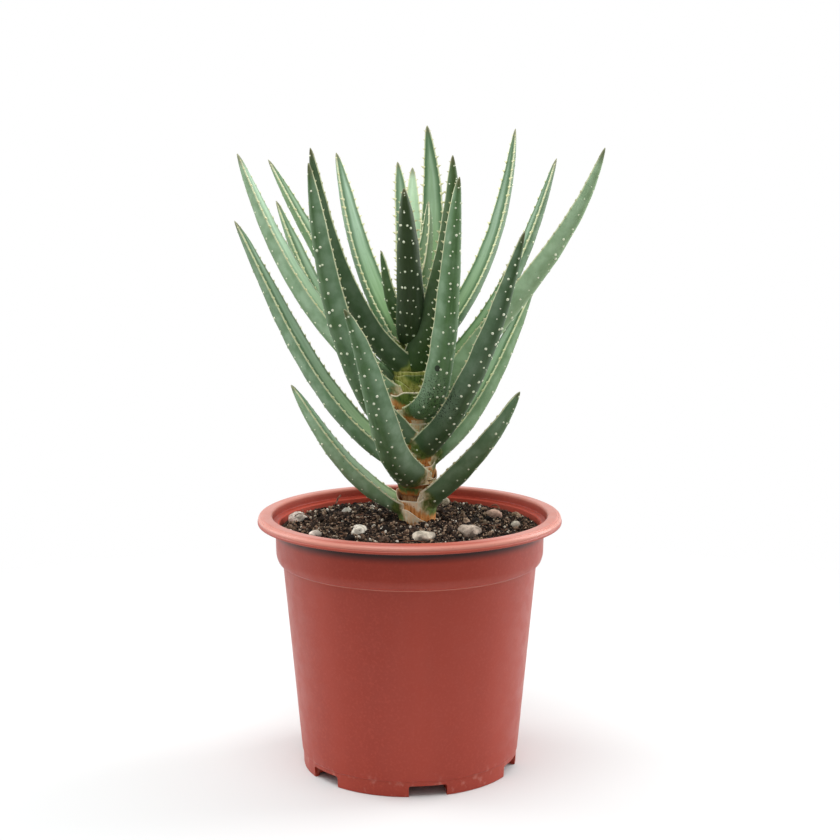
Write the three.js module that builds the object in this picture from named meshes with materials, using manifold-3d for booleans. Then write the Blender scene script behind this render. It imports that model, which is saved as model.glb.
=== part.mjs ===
// Young kokerboom (quiver tree) in a terracotta-coloured plastic nursery pot.
// Millimetres, +Z up. The origin is on the pot's axis, on the surface that its feet stand on.

import * as THREE from "three";
import { mergeVertices } from "three/addons/utils/BufferGeometryUtils.js";
import Module from "manifold-3d";

const wasm = await Module();
wasm.setup();

// Driving dimensions of the pot
const potHeight = 110;
const rimRadius = 65;
const rimInnerRadius = 58.8;
const rimRoof = 1.8;
const lipDepth = 3.6;
const ledgeDepth = 3.8;
const wall = 1.6;
const collarRadius = 57.2;
const collarBottom = 89.3;
const collarBend = 3.4;
const shoulderRadius = 54.4;
const footRadius = 46.2;
const footThickness = 2.4;
const skirtLine = 6.6;
const skirtStep = 0.7;
const floorTop = 8;
const potSides = 36;
const notchCount = 6;
const notchFirstAngle = -80.3;
const notchWidth = 16;
const notchHeight = 4.8;
const notchDepth = 10;
const ribLength = 7;
const ribWidth = 1.4;
const drainHoleRadius = 4.5;
const drainHoleCircle = 30;

// Driving dimensions of the soil and what lies on it
const clearance = 0.3;
const soilLevel = 103.6;
const soilMound = 3.4;
const soilSides = 28;
const grainCount = 26;
const grainMinimum = 1.2;
const grainSpread = 2.2;

// Driving dimensions of the stem
const stemFoot = 80;
const stemTop = 186;
const stemRadius = 6.6;
const stemTopRadius = 2.6;
const stemTaperStart = 150;
const stemSides = 12;
const topSheathHeight = 166;
const stemLean = -0.032;
const stemLeanOrigin = 214;
const sheathWall = 1.15;
const sheathDrop = 2.2;

// Driving dimensions that all leaves share, the first four as shares of a blade's width
const outerDepth = 0.24;
const innerDepth = 0.44;
const innerSwell = 0.08;
const clasp = 0.14;
const flarePlace = 0.12;
const taperPower = 0.68;
const belly = 0.85;
const flankPlace = 0.6;
const flankLift = 0.8;
const rootDepth = 0.6;
const curveReach = 0.36;
const toothHeight = 1.3;
const toothBase = 1.8;
const toothPitch = 8.5;
const toothedFrom = 0.17;
const toothedTo = 0.94;
const wartSize = 0.75;
const wartPitch = 20;
const wartedFrom = 0.2;
const wartedTo = 0.9;
const leafGap = 0.35;
const stemRoom = 5;
const leafRoom = 3;

// Each leaf, from the lowest to the youngest: where its tip is, the height on the stem where it starts,
// how steeply it rises at its foot and at its tip in degrees, how wide its blade is, and how far it bows
// to its own left on the way up.
const leafRows = [
  { tip: [-51, 8, 164], base: 110.5, rise: [16, 63], width: 11.5 },
  { tip: [46, -14, 164], base: 112.5, rise: [38, 65], width: 12.5 },
  { tip: [-25.5, -46, 201], base: 122.5, rise: [15, 62], width: 13.2, bow: 4 },
  { tip: [0, 58, 225], base: 124.5, rise: [28, 66], width: 12 },
  { tip: [-77, 34, 233], base: 126.5, rise: [24, 63], width: 12.5, bow: -1 },
  { tip: [53.5, 22, 204], base: 128.5, rise: [32, 66], width: 12.5 },
  { tip: [45.5, -44, 231.5], base: 132.5, rise: [37, 77], width: 11.4, bow: -3.8 },
  { tip: [-40, -31, 258], base: 134.5, rise: [39, 87], width: 12.8, bow: 3 },
  { tip: [16, 54, 227], base: 138, rise: [34, 74], width: 12 },
  { tip: [78.5, -25, 264], base: 140.5, rise: [65, 75], width: 13.4 },
  { tip: [20, -38, 252.5], base: 152, rise: [4, 86], width: 11.5, bow: -2.4 },
  { tip: [-59.5, 44, 241.5], base: 154.5, rise: [26, 66], width: 10.5 },
  { tip: [-74, 22, 262], base: 157, rise: [30, 72], width: 13, bow: -1 },
  { tip: [1, 60, 256], base: 159, rise: [38, 64], width: 12 },
  { tip: [63.5, 28, 260], base: 161.5, rise: [30, 74], width: 9.5 },
  { tip: [-62, 36, 259.5], base: 163.5, rise: [46, 60], width: 10 },
  { tip: [17.5, -27, 261], base: 165.5, rise: [60, 100], width: 10.8 },
  { tip: [-40, -18, 264], base: 167.5, rise: [40, 86], width: 12.2 },
  { tip: [46.5, 44, 273], base: 173.5, rise: [28, 84], width: 9.1, bow: -1 },
  { tip: [-32.5, 40, 262.5], base: 176.5, rise: [34, 75], width: 11 },
  { tip: [-5.5, 42, 258.5], base: 179, rise: [54, 70], width: 10, bow: -1 },
  { tip: [-2, -30, 248], base: 180.5, rise: [32, 89], width: 12, bow: 1.5 },
  { tip: [7.5, 30, 274], base: 182.5, rise: [53, 86], width: 11.5, bow: -6 },
  { tip: [-12, -4, 222], base: 184, rise: [46, 82], width: 7 },
  { tip: [8, 4, 242], base: 186, rise: [74, 96], width: 9 },
];

// Each stone on the soil: its place from above, its size, its turn in degrees and its colour.
const stoneRows = [
  { at: [-48.5, 9], size: [8.2, 7, 6.4], turn: 20, colour: 0xa99c86 },
  { at: [-20.8, -23], size: [7.6, 6.2, 5.4], turn: 50, colour: 0xd8d2c4 },
  { at: [6, -33], size: [9, 6.6, 5], turn: 10, colour: 0xcfc6b4 },
  { at: [25, -23.5], size: [9.5, 7.4, 6.2], turn: -20, colour: 0xb7a794 },
  { at: [36.5, 14], size: [8.4, 5.6, 5.4], turn: 35, colour: 0xb08d78 },
  { at: [45, -3], size: [7.4, 5, 4.4], turn: 70, colour: 0xc2b8a6 },
  { at: [-28, 21], size: [5.4, 4.6, 4.2], turn: 5, colour: 0xd9d4c8 },
  { at: [14, 38], size: [8, 6, 5], turn: 40, colour: 0xa59884 },
  { at: [-14, 43], size: [6.4, 5.4, 4.6], turn: 80, colour: 0xc9c0b0 },
  { at: [-39, -24], size: [6.6, 5.2, 4.6], turn: 15, colour: 0xb5a893 },
];
const stoneSunk = 0.42;
const largeStone = 7.5;

// A repeatable stream of numbers from 0 to 1.
function seededRandom(seed) {
  let state = seed;
  return () => {
    state = (state + 0x6d2b79f5) | 0;
    let mixed = Math.imul(state ^ (state >>> 15), 1 | state);
    mixed = (mixed + Math.imul(mixed ^ (mixed >>> 7), 61 | mixed)) ^ mixed;
    return ((mixed ^ (mixed >>> 14)) >>> 0) / 2 ** 32;
  };
}

// A closed geometry as a solid, with shared vertices merged and the slivers that merging leaves dropped.
function solidOf(geometry) {
  const bare = geometry.clone();
  bare.deleteAttribute("normal");
  bare.deleteAttribute("uv");
  const merged = mergeVertices(bare, 1e-4);
  const corners = merged.index.array;
  const kept = [];
  for (let i = 0; i < corners.length; i += 3) {
    const [a, b, c] = [corners[i], corners[i + 1], corners[i + 2]];
    if (a !== b && b !== c && c !== a) kept.push(a, b, c);
  }
  return new wasm.Manifold(
    new wasm.Mesh({
      numProp: 3,
      vertProperties: new Float32Array(merged.attributes.position.array),
      triVerts: new Uint32Array(kept),
    }),
  );
}

// A solid as a geometry with flat faces.
function geometryOf(solid) {
  const mesh = solid.getMesh();
  const geometry = new THREE.BufferGeometry();
  geometry.setAttribute("position", new THREE.BufferAttribute(mesh.vertProperties, mesh.numProp));
  geometry.setIndex(new THREE.BufferAttribute(mesh.triVerts, 1));
  const flat = geometry.toNonIndexed();
  flat.computeVertexNormals();
  return flat;
}

// The largest body of a solid that a cut may have left in pieces.
function largestBody(solid) {
  const bodies = solid.decompose();
  return bodies.reduce((best, body) => (body.volume() > best.volume() ? body : best));
}

// A solid of revolution about +Z from a profile of [radius, height] points that runs up its outside.
function turned(profile, sides) {
  const points = profile.map(([radius, height]) => new THREE.Vector2(radius, height));
  const geometry = new THREE.LatheGeometry(points, sides);
  geometry.rotateX(Math.PI / 2);
  return geometry;
}

// A closed surface from rows of points, each { t, point } with t from 0 to 1. A row may have its own number
// of points. Neighbouring rows are joined by triangles, and each end is closed by a fan.
function skinned(rows) {
  const positions = [];
  const triangles = [];
  const indexed = rows.map((row) =>
    row.map(({ t, point }) => {
      positions.push(point.x, point.y, point.z);
      return { t, index: positions.length / 3 - 1 };
    }),
  );
  indexed.forEach((row, i) => {
    const next = indexed[(i + 1) % indexed.length];
    let a = 0;
    let b = 0;
    while (a < row.length - 1 || b < next.length - 1) {
      const nextDone = b === next.length - 1;
      if (nextDone || (a < row.length - 1 && row[a + 1].t <= next[b + 1].t)) {
        triangles.push(row[a].index, row[a + 1].index, next[b].index);
        a += 1;
      } else {
        triangles.push(row[a].index, next[b + 1].index, next[b].index);
        b += 1;
      }
    }
  });
  for (let i = 1; i < indexed.length - 1; i += 1) {
    const [first, here, next] = [indexed[0], indexed[i], indexed[i + 1]];
    triangles.push(first[0].index, here[0].index, next[0].index);
    triangles.push(first.at(-1).index, next.at(-1).index, here.at(-1).index);
  }
  const geometry = new THREE.BufferGeometry();
  geometry.setAttribute("position", new THREE.Float32BufferAttribute(positions, 3));
  geometry.setIndex(triangles);
  return geometry;
}

// A small spike with three sides that points along the axis, with its foot sunk by the given depth.
function spike(foot, axis, height, radius, sunk) {
  const cone = new THREE.ConeGeometry(radius, height + sunk, 3, 1);
  cone.translate(0, (height + sunk) / 2 - sunk, 0);
  cone.applyQuaternion(new THREE.Quaternion().setFromUnitVectors(new THREE.Vector3(0, 1, 0), axis));
  cone.translate(foot.x, foot.y, foot.z);
  return solidOf(cone);
}

// The pot

// The outside of the pot's wall between the skirt and the collar.
function potWallRadius(height) {
  const share = (height - skirtLine) / (collarBottom - skirtLine);
  return footRadius + skirtStep + (shoulderRadius - footRadius - skirtStep) * share;
}

function makePot() {
  const rimBottom = potHeight - lipDepth;
  const ledge = potHeight - ledgeDepth;
  const outside = [
    [0, floorTop - wall],
    [footRadius - footThickness - 0.6, floorTop - wall],
    [footRadius - footThickness, 0],
    [footRadius, 0],
    [footRadius + 0.3, skirtLine],
    [potWallRadius(skirtLine), skirtLine + 0.3],
    [potWallRadius(collarBottom), collarBottom],
    [collarRadius - 1, collarBottom + 0.6],
    [collarRadius, collarBottom + collarBend],
    [collarRadius + 0.3, rimBottom - 1.4],
    [rimInnerRadius + 0.9, rimBottom - 0.4],
    [rimInnerRadius + 1.1, potHeight - rimRoof],
    [rimRadius - 1.3, potHeight - rimRoof],
    [rimRadius - 1.1, rimBottom],
    [rimRadius - 0.1, rimBottom],
    [rimRadius, potHeight - 1.4],
    [rimRadius - 1.6, potHeight],
  ];
  const inside = [
    [rimInnerRadius, potHeight],
    [rimInnerRadius - 0.3, ledge],
    [collarRadius - wall + 0.2, ledge - 0.4],
    [collarRadius - wall - 0.1, collarBottom + 3],
    [shoulderRadius - wall, collarBottom - 1],
    [potWallRadius(floorTop) - wall, floorTop],
    [0, floorTop],
  ];
  let pot = solidOf(turned([...outside, ...inside], potSides));
  for (let i = 0; i < notchCount; i += 1) {
    const angle = THREE.MathUtils.degToRad(notchFirstAngle + (360 / notchCount) * i);
    const notch = new THREE.BoxGeometry(notchDepth, notchWidth, 2 * notchHeight);
    notch.translate(footRadius, 0, 0);
    notch.rotateZ(angle);
    pot = pot.subtract(solidOf(notch));
    const hole = new THREE.CylinderGeometry(drainHoleRadius, drainHoleRadius, 6, 12);
    hole.rotateX(Math.PI / 2);
    hole.translate(drainHoleCircle, 0, floorTop);
    hole.rotateZ(angle);
    pot = pot.subtract(solidOf(hole));
    for (const side of [-1, 1]) {
      const rib = new THREE.BoxGeometry(ribLength, ribWidth, floorTop - wall);
      rib.translate(footRadius - notchDepth / 2, (side * (notchWidth + ribWidth)) / 2, floorTop / 2 + 0.2);
      rib.rotateZ(angle);
      pot = pot.add(solidOf(rib));
    }
  }
  return pot;
}

// The stem

// The sideways place of the stem's centre line, which leans a little.
function stemCentre(height) {
  return (height - stemLeanOrigin) * stemLean;
}

function stemRadiusAt(height) {
  const share = THREE.MathUtils.clamp((height - stemTaperStart) / (stemTop - stemTaperStart), 0, 1);
  return stemRadius + (stemTopRadius - stemRadius) * share;
}

// Moves each level of a solid of revolution onto the stem's centre line.
function leanWithStem(geometry) {
  const place = geometry.attributes.position;
  for (let i = 0; i < place.count; i += 1) {
    place.setX(i, place.getX(i) + stemCentre(place.getZ(i)));
  }
  return geometry;
}

// The stem's own shape, or one grown by a margin for what has to stay clear of it.
function makeStem(margin = 0) {
  const profile = [
    [0, stemFoot - margin],
    [stemRadius - 1 + margin, stemFoot - margin],
    [stemRadius + margin, stemFoot + 4],
    [stemRadius + margin, stemTaperStart],
    [stemRadiusAt(175) + margin, 175],
    [stemTopRadius + margin, stemTop],
    [0, stemTop + 1 + margin],
  ];
  return solidOf(leanWithStem(turned(profile, stemSides)));
}

// The leaves

// The middle line of a leaf: a curve from inside the stem to the tip.
function leafLine({ tip, base, rise, bow = 0 }) {
  const centre = new THREE.Vector3(stemCentre(base), 0, base);
  const end = new THREE.Vector3(...tip);
  const outward = new THREE.Vector3(end.x - centre.x, end.y, 0).normalize();
  const start = centre.clone().addScaledVector(outward, stemRadiusAt(base) * (1 - rootDepth));
  const reach = start.distanceTo(end) * curveReach;
  const heading = (degrees) => {
    const slope = THREE.MathUtils.degToRad(degrees);
    return outward.clone().multiplyScalar(Math.cos(slope)).add(new THREE.Vector3(0, 0, Math.sin(slope)));
  };
  const across = new THREE.Vector3(0, 0, 1).cross(outward);
  const leaving = start.clone().addScaledVector(heading(rise[0]), reach).addScaledVector(across, bow);
  const arriving = end.clone().addScaledVector(heading(rise[1]), -reach).addScaledVector(across, bow);
  return { curve: new THREE.CubicBezierCurve3(start, leaving, arriving, end), across };
}

// The blade's width at a place from the base at 0 to the tip at 1, as a share of its full width.
function leafTaper(t) {
  const flare = clasp * Math.max(0, 1 - t / flarePlace);
  return Math.max(1 - t, 0) ** taperPower * (1 + belly * t) + flare;
}

// One place on the blade: t along it, s across it from -1 to 1, and out from its middle line.
function bladePoint(line, t, s, halfWidth, out) {
  const middle = line.curve.getPoint(t);
  const along = line.curve.getTangent(t);
  const outer = new THREE.Vector3().crossVectors(line.across, along).normalize();
  return middle.addScaledVector(line.across, s * halfWidth).addScaledVector(outer, out);
}

// The places along a blade where its cross-section is drawn.
const stations = [0, 0.08, 0.18, 0.32, 0.47, 0.62, 0.77, 0.9, 0.985];

// The sizes of a blade at a place along it: half its width, and how far its outer face, its margins and
// the middle of its inner face lie from its middle line. The inner face is hollow near the base and swells
// further up.
function bladeSizes(row, t, margin = 0) {
  const width = row.width * leafTaper(t);
  return {
    half: width / 2 + margin * 2,
    outer: width * outerDepth + margin,
    edge: -width * innerDepth - margin * 0.8,
    inner: -width * (innerDepth + innerSwell * (1.6 * t - 0.5)) - margin,
  };
}

// Whether the stem or another leaf runs close to a point.
function crowded(point, lines, own) {
  const fromStem = Math.hypot(point.x - stemCentre(point.z), point.y);
  if (point.z < stemTop && fromStem < stemRadius + stemRoom) return true;
  return lines.some(({ line, width }, i) => {
    if (i === own) return false;
    return line.some(({ place, t }) => place.distanceTo(point) < (width * leafTaper(t)) / 2 + leafRoom);
  });
}

// One margin of a blade, as points for the skin, with teeth between its plain ends where they are allowed.
function marginRow(row, line, side, margin, toothAllowed) {
  const plain = stations.map((t) => {
    const sizes = bladeSizes(row, t, margin);
    return { t, point: bladePoint(line, t, side, sizes.half, sizes.edge) };
  });
  if (!toothAllowed) return plain;
  const between = (t) => {
    const i = stations.findIndex((station) => station >= t);
    const share = (t - stations[i - 1]) / (stations[i] - stations[i - 1]);
    return plain[i - 1].point.clone().lerp(plain[i].point, share);
  };
  const length = line.curve.getLength();
  const count = Math.round(((toothedTo - toothedFrom) * length) / toothPitch);
  const half = toothBase / 2 / length;
  const points = [...plain];
  for (let i = 0; i < count; i += 1) {
    const t = toothedFrom + ((toothedTo - toothedFrom) * (i + (side > 0 ? 0.3 : 0.7))) / count;
    const tip = between(t + half * 0.6).addScaledVector(line.across, side * toothHeight);
    if (!toothAllowed(tip)) continue;
    points.push({ t: t - half, point: between(t - half) });
    points.push({ t, point: tip });
    points.push({ t: t + half, point: between(t + half) });
  }
  return points.sort((a, b) => a.t - b.t);
}

// The blade's skin. Its margins carry teeth where they are asked for, and a margin grows it on all sides.
function bladeGeometry(row, margin, toothAllowed) {
  const line = leafLine(row);
  const strand = (s, lift) =>
    stations.map((t) => {
      const sizes = bladeSizes(row, t, margin);
      return { t, point: bladePoint(line, t, s, sizes.half, lift(sizes)) };
    });
  const flank = (sizes) => sizes.edge + (sizes.outer - sizes.edge) * flankLift;
  return skinned([
    marginRow(row, line, 1, margin, toothAllowed),
    strand(flankPlace, flank),
    strand(0, (sizes) => sizes.outer),
    strand(-flankPlace, flank),
    marginRow(row, line, -1, margin, toothAllowed),
    strand(0, (sizes) => sizes.inner),
  ]);
}

// The pale warts of a leaf's outer face, in loose rows.
function addWarts(blade, row, random, allowed) {
  const line = leafLine(row);
  const count = Math.round(line.curve.getLength() / wartPitch);
  let grown = blade;
  for (let i = 0; i < count; i += 1) {
    const t = wartedFrom + ((wartedTo - wartedFrom) * (i + 0.4 * random())) / count;
    const s = ((i % 3) - 1) * 0.38 + (random() - 0.5) * 0.16;
    const sizes = bladeSizes(row, t);
    const level = sizes.edge + (sizes.outer - sizes.edge) * (1 - Math.abs(s) / 3);
    const foot = bladePoint(line, t, s, sizes.half, level);
    const axis = foot.clone().sub(bladePoint(line, t, s * 0.5, sizes.half, 0)).normalize();
    if (allowed(foot)) grown = grown.add(spike(foot, axis, wartSize, wartSize, wartSize));
  }
  return grown;
}

// The thin sheath that clasps the stem under a leaf, from this leaf's base to the next one's.
function sheathSolid(base, nextBase) {
  const low = base - sheathDrop;
  const high = nextBase - sheathDrop - clearance;
  const inside = (height) => stemRadiusAt(height) + clearance;
  const profile = [
    [inside(low), low],
    [inside(low) + sheathWall * 0.8, low],
    [inside(high) + sheathWall * 1.2, high],
    [inside(high), high],
    [inside(low), low],
  ];
  return solidOf(leanWithStem(turned(profile, stemSides)));
}

function makeLeaves() {
  const lineSteps = 24;
  const random = seededRandom(11);
  const stemSpace = makeStem(clearance);
  const spaces = leafRows.map((row) => solidOf(bladeGeometry(row, leafGap)));
  const lines = leafRows.map((row) => ({
    width: row.width,
    line: leafLine(row).curve.getPoints(lineSteps).map((place, i) => ({ t: i / lineSteps, place })),
  }));
  return leafRows.map((row, i) => {
    const allowed = (point) => !crowded(point, lines, i);
    const plain = solidOf(bladeGeometry(row, 0, allowed));
    let blade = addWarts(plain, row, random, allowed).subtract(stemSpace);
    spaces.slice(i + 1).forEach((space) => {
      blade = blade.subtract(space);
    });
    if (row.base > topSheathHeight) return largestBody(blade);
    let sheath = sheathSolid(row.base, leafRows[i + 1].base);
    spaces.forEach((space, j) => {
      if (j !== i) sheath = sheath.subtract(space);
    });
    return largestBody(largestBody(blade).add(sheath));
  });
}

// The soil and what lies on it

// The height of the soil's surface: a low mound with lumps that fade out at the pot's wall.
function soilHeight(x, y) {
  const radius = Math.hypot(x, y) / (collarRadius - wall);
  const broadLumps = 0.7 * Math.sin(x * 0.31 + 1.3) * Math.cos(y * 0.27);
  const smallLumps = 0.5 * Math.sin(x * 0.63 - y * 0.52);
  const fade = Math.min(1, 4 * (1 - radius));
  return soilLevel + soilMound * (1 - radius ** 2) + (broadLumps + smallLumps) * fade;
}

// A stone: a ball with its corners moved in and out at random, squeezed to its size and sunk in the soil.
function stoneGeometry({ at, size, turn }, random) {
  const ball = new THREE.IcosahedronGeometry(0.5, size[0] > largeStone ? 1 : 0);
  const stone = mergeVertices(ball.deleteAttribute("normal").deleteAttribute("uv"));
  const place = stone.attributes.position;
  for (let i = 0; i < place.count; i += 1) {
    const swell = 0.86 + 0.28 * random();
    place.setXYZ(i, place.getX(i) * swell, place.getY(i) * swell, place.getZ(i) * swell);
  }
  stone.scale(...size);
  stone.rotateZ(THREE.MathUtils.degToRad(turn));
  stone.translate(at[0], at[1], soilHeight(...at) + size[2] * (0.5 - stoneSunk));
  return stone;
}

// The same stone a little larger, for the pocket that it lies in.
function stoneSpace(stone) {
  const box = new THREE.Box3().setFromBufferAttribute(stone.attributes.position);
  const centre = box.getCenter(new THREE.Vector3());
  const size = box.getSize(new THREE.Vector3());
  const factors = size.toArray().map((side) => 1 + (2.6 * clearance) / side);
  const grown = stone.clone().translate(-centre.x, -centre.y, -centre.z).scale(...factors);
  return solidOf(grown.translate(centre.x, centre.y, centre.z));
}

function makeSoil(stones) {
  const random = seededRandom(5);
  const wallSide = collarRadius - wall - 0.1 - clearance;
  const rings = [0.92, 0.8, 0.66, 0.52, 0.38, 0.22];
  const profile = [
    [0, floorTop + clearance],
    [potWallRadius(floorTop) - wall - 1.4, floorTop + clearance],
    [potWallRadius(floorTop + 2) - wall - clearance - 0.1, floorTop + 2],
    [shoulderRadius - wall - clearance - 0.2, collarBottom - 1],
    [wallSide - 0.2, collarBottom + 3.6],
    [wallSide, soilLevel],
    ...rings.map((share) => [wallSide * share, soilLevel + 1]),
    [0, soilLevel + 1],
  ];
  const mound = turned(profile, soilSides);
  const place = mound.attributes.position;
  for (let i = 0; i < place.count; i += 1) {
    if (place.getZ(i) > soilLevel + 0.5) place.setZ(i, soilHeight(place.getX(i), place.getY(i)));
  }
  let soil = solidOf(mound);
  for (let i = 0; i < grainCount; i += 1) {
    const reach = (wallSide - 4) * Math.sqrt(random());
    const angle = 2 * Math.PI * random();
    const size = grainMinimum + grainSpread * random() ** 2;
    const grain = new THREE.OctahedronGeometry(size * 0.62, 0);
    grain.scale(1, 0.6 + 0.5 * random(), 0.6 + 0.4 * random());
    grain.rotateX(random() * 3);
    grain.rotateZ(random() * 6);
    const [x, y] = [reach * Math.cos(angle), reach * Math.sin(angle)];
    grain.translate(x, y, soilHeight(x, y) + 0.1 * size);
    soil = soil.add(solidOf(grain));
  }
  soil = soil.subtract(makeStem(clearance));
  stones.forEach((stone) => {
    soil = soil.subtract(stoneSpace(stone));
  });
  return soil;
}

// The whole plant in its pot

const model = new THREE.Group();

function addPiece(name, solid, colour, roughness) {
  const material = new THREE.MeshStandardMaterial({ color: colour, roughness, metalness: 0 });
  const piece = new THREE.Mesh(geometryOf(largestBody(solid)), material);
  piece.name = name;
  model.add(piece);
}

function twoDigits(number) {
  return String(number).padStart(2, "0");
}

addPiece("pot", makePot(), 0x9a4538, 0.5);
const stoneRandom = seededRandom(3);
const stones = stoneRows.map((row) => stoneGeometry(row, stoneRandom));
addPiece("soil", makeSoil(stones), 0x2e241e, 0.95);
stones.forEach((stone, i) => {
  addPiece(`stone_${twoDigits(i + 1)}`, solidOf(stone), stoneRows[i].colour, 0.85);
});
addPiece("stem", makeStem(), 0xc99f72, 0.75);
makeLeaves().forEach((leaf, i) => addPiece(`leaf_${twoDigits(i + 1)}`, leaf, 0x5f8a72, 0.6));

export default model;
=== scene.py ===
import math

import bmesh
import bpy
import numpy as np
from mathutils import Matrix, Vector, noise


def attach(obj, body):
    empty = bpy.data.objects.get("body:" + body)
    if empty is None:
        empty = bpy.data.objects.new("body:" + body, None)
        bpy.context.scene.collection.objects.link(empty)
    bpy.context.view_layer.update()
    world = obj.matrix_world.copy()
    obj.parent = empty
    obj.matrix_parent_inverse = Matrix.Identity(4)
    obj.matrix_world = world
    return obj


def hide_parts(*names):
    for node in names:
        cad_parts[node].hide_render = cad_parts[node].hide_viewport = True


# Young quiver tree in a terracotta-coloured nursery pot.
# Sizes are in millimetres until a mesh is made, and every mesh is in metres.

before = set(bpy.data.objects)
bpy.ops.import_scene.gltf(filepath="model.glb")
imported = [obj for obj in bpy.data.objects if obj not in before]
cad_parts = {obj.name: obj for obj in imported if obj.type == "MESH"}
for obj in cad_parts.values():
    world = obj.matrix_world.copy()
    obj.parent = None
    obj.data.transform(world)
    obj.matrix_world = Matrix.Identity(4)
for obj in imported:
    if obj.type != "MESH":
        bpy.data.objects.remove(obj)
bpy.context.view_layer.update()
mm = 0.001
print("solids loaded:", len(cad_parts))


# small helpers

def paint(red, green, blue, alpha=1.0):  # a screen colour, 0 to 255, as the linear one that a shader wants
    linear = [c / 255 / 12.92 if c / 255 <= 0.04045 else ((c / 255 + 0.055) / 1.055) ** 2.4
              for c in (red, green, blue)]
    return (*linear, alpha)


def softStep(low, high, value):
    share = np.clip((np.asarray(value, float) - low) / (high - low), 0, 1)
    return share * share * (3 - 2 * share)


def newMesh(name, points, faces):
    mesh = bpy.data.meshes.new(name)
    mesh.from_pydata((np.asarray(points, float) * mm).tolist(), [], faces)
    mesh.validate()
    return mesh


def newPiece(name, mesh, materials=()):
    piece = bpy.data.objects.new(name, mesh)
    bpy.context.scene.collection.objects.link(piece)
    for material in materials:
        mesh.materials.append(material)
    return piece


def shadeSmooth(mesh, sharpAngle=180):
    mesh.polygons.foreach_set("use_smooth", [True] * len(mesh.polygons))
    if sharpAngle < 180:
        mesh.set_sharp_from_angle(angle=math.radians(sharpAngle))
    mesh.update()


def plainMesh(piece, step):  # what a modifier makes of a piece, with the modifier taken off
    graph = bpy.context.evaluated_depsgraph_get()
    mesh = bpy.data.meshes.new_from_object(piece.evaluated_get(graph), depsgraph=graph,
                                           preserve_all_data_layers=True)
    piece.modifiers.remove(step)
    piece.data = mesh
    return mesh


def giveFloats(mesh, name, values):
    layer = mesh.attributes.new(name, "FLOAT", "POINT")
    layer.data.foreach_set("value", np.asarray(values, np.float32))


def giveVectors(mesh, name, values):
    layer = mesh.attributes.new(name, "FLOAT_VECTOR", "POINT")
    layer.data.foreach_set("vector", np.asarray(values, np.float32).ravel())


def gridFaces(rows, columns, closedAcross=False, closedAlong=False, first=0):
    faces = []
    for i in range(rows if closedAlong else rows - 1):
        for j in range(columns if closedAcross else columns - 1):
            a, b = i * columns, ((i + 1) % rows) * columns
            k = (j + 1) % columns
            faces.append((first + a + j, first + a + k, first + b + k, first + b + j))
    return faces


def settle(piece, slotName, *nodes):  # rides on the one body and stands for its nodes
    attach(piece, "root")
    if nodes:
        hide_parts(*nodes)
    return piece


# node helpers, for shaders and geometry alike

class Signal:  # what comes out of a node; plain sums on it become Math nodes
    def __init__(self, tree, socket):
        self.tree, self.socket = tree, socket

    def __getitem__(self, name):  # another output of the same node
        return Signal(self.tree, socketOf(self.socket.node.outputs, name))

    def __add__(self, other):
        return maths("ADD", self, other)

    def __sub__(self, other):
        return maths("SUBTRACT", self, other)

    def __rsub__(self, other):
        return maths("SUBTRACT", other, self)

    def __mul__(self, other):
        return maths("MULTIPLY", self, other)

    def __truediv__(self, other):
        return maths("DIVIDE", self, other)


def socketOf(sockets, key):
    if isinstance(key, int):
        return sockets[key]
    return next(s for s in sockets if s.name == key and s.enabled)


def addNode(tree, kind, sockets=None, output=0, **settings):  # a list in sockets gives several links
    node = tree.nodes.new(kind)
    for name, value in settings.items():
        setattr(node, name, value)
    for key, value in (sockets or {}).items():
        socket = socketOf(node.inputs, key)
        for source in value if isinstance(value, list) else [value]:
            if isinstance(source, Signal):
                tree.links.new(source.socket, socket)
            else:
                socket.default_value = source
    return Signal(tree, socketOf(node.outputs, output))


def give(signal, socket):
    signal.tree.links.new(signal.socket, socket)


def maths(operation, a, b=0.0, clamp=False):
    tree = a.tree if isinstance(a, Signal) else b.tree
    return addNode(tree, "ShaderNodeMath", {0: a, 1: b}, operation=operation, use_clamp=clamp)


def scaled(vector, size):
    return addNode(size.tree, "ShaderNodeVectorMath", {0: vector, "Scale": size}, operation="SCALE")


def farFrom(place, centre, squash=(1, 1, 1)):  # the distance from a centre, with squashed axes
    tree = place.tree
    away = addNode(tree, "ShaderNodeVectorMath", {0: place, 1: centre}, operation="SUBTRACT")
    away = addNode(tree, "ShaderNodeVectorMath", {0: away, 1: squash}, operation="MULTIPLY")
    return addNode(tree, "ShaderNodeVectorMath", {0: away}, "Value", operation="LENGTH")


def blend(factor, a, b, mode="MIX"):  # between two colours
    tree = next(value.tree for value in (factor, a, b) if isinstance(value, Signal))
    return addNode(tree, "ShaderNodeMix", {0: factor, 6: a, 7: b}, 2, data_type="RGBA", blend_type=mode)


def weigh(factor, a, b):  # between two numbers
    return addNode(factor.tree, "ShaderNodeMix", {0: factor, 2: a, 3: b}, data_type="FLOAT")


def between(value, low, high, fromEnd=0.0, toEnd=1.0):
    return addNode(value.tree, "ShaderNodeMapRange", {"Value": value, "From Min": low, "From Max": high,
                                                      "To Min": fromEnd, "To Max": toEnd},
                   interpolation_type="SMOOTHSTEP")


def ramp(factor, stops):
    tone = addNode(factor.tree, "ShaderNodeValToRGB", {0: factor})
    marks = tone.socket.node.color_ramp.elements
    while len(marks) < len(stops):
        marks.new(0.5)
    for mark, (place, colour) in zip(marks, stops):
        mark.position = place
        mark.color = paint(*colour)
    return tone


def readFloat(tree, name):
    return addNode(tree, "ShaderNodeAttribute", None, "Fac", attribute_name=name)


def drawnOut(place, share):  # makes a pattern on it long and upright
    return addNode(place.tree, "ShaderNodeMapping", {"Vector": place, "Scale": (1, 1, share)})


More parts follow.
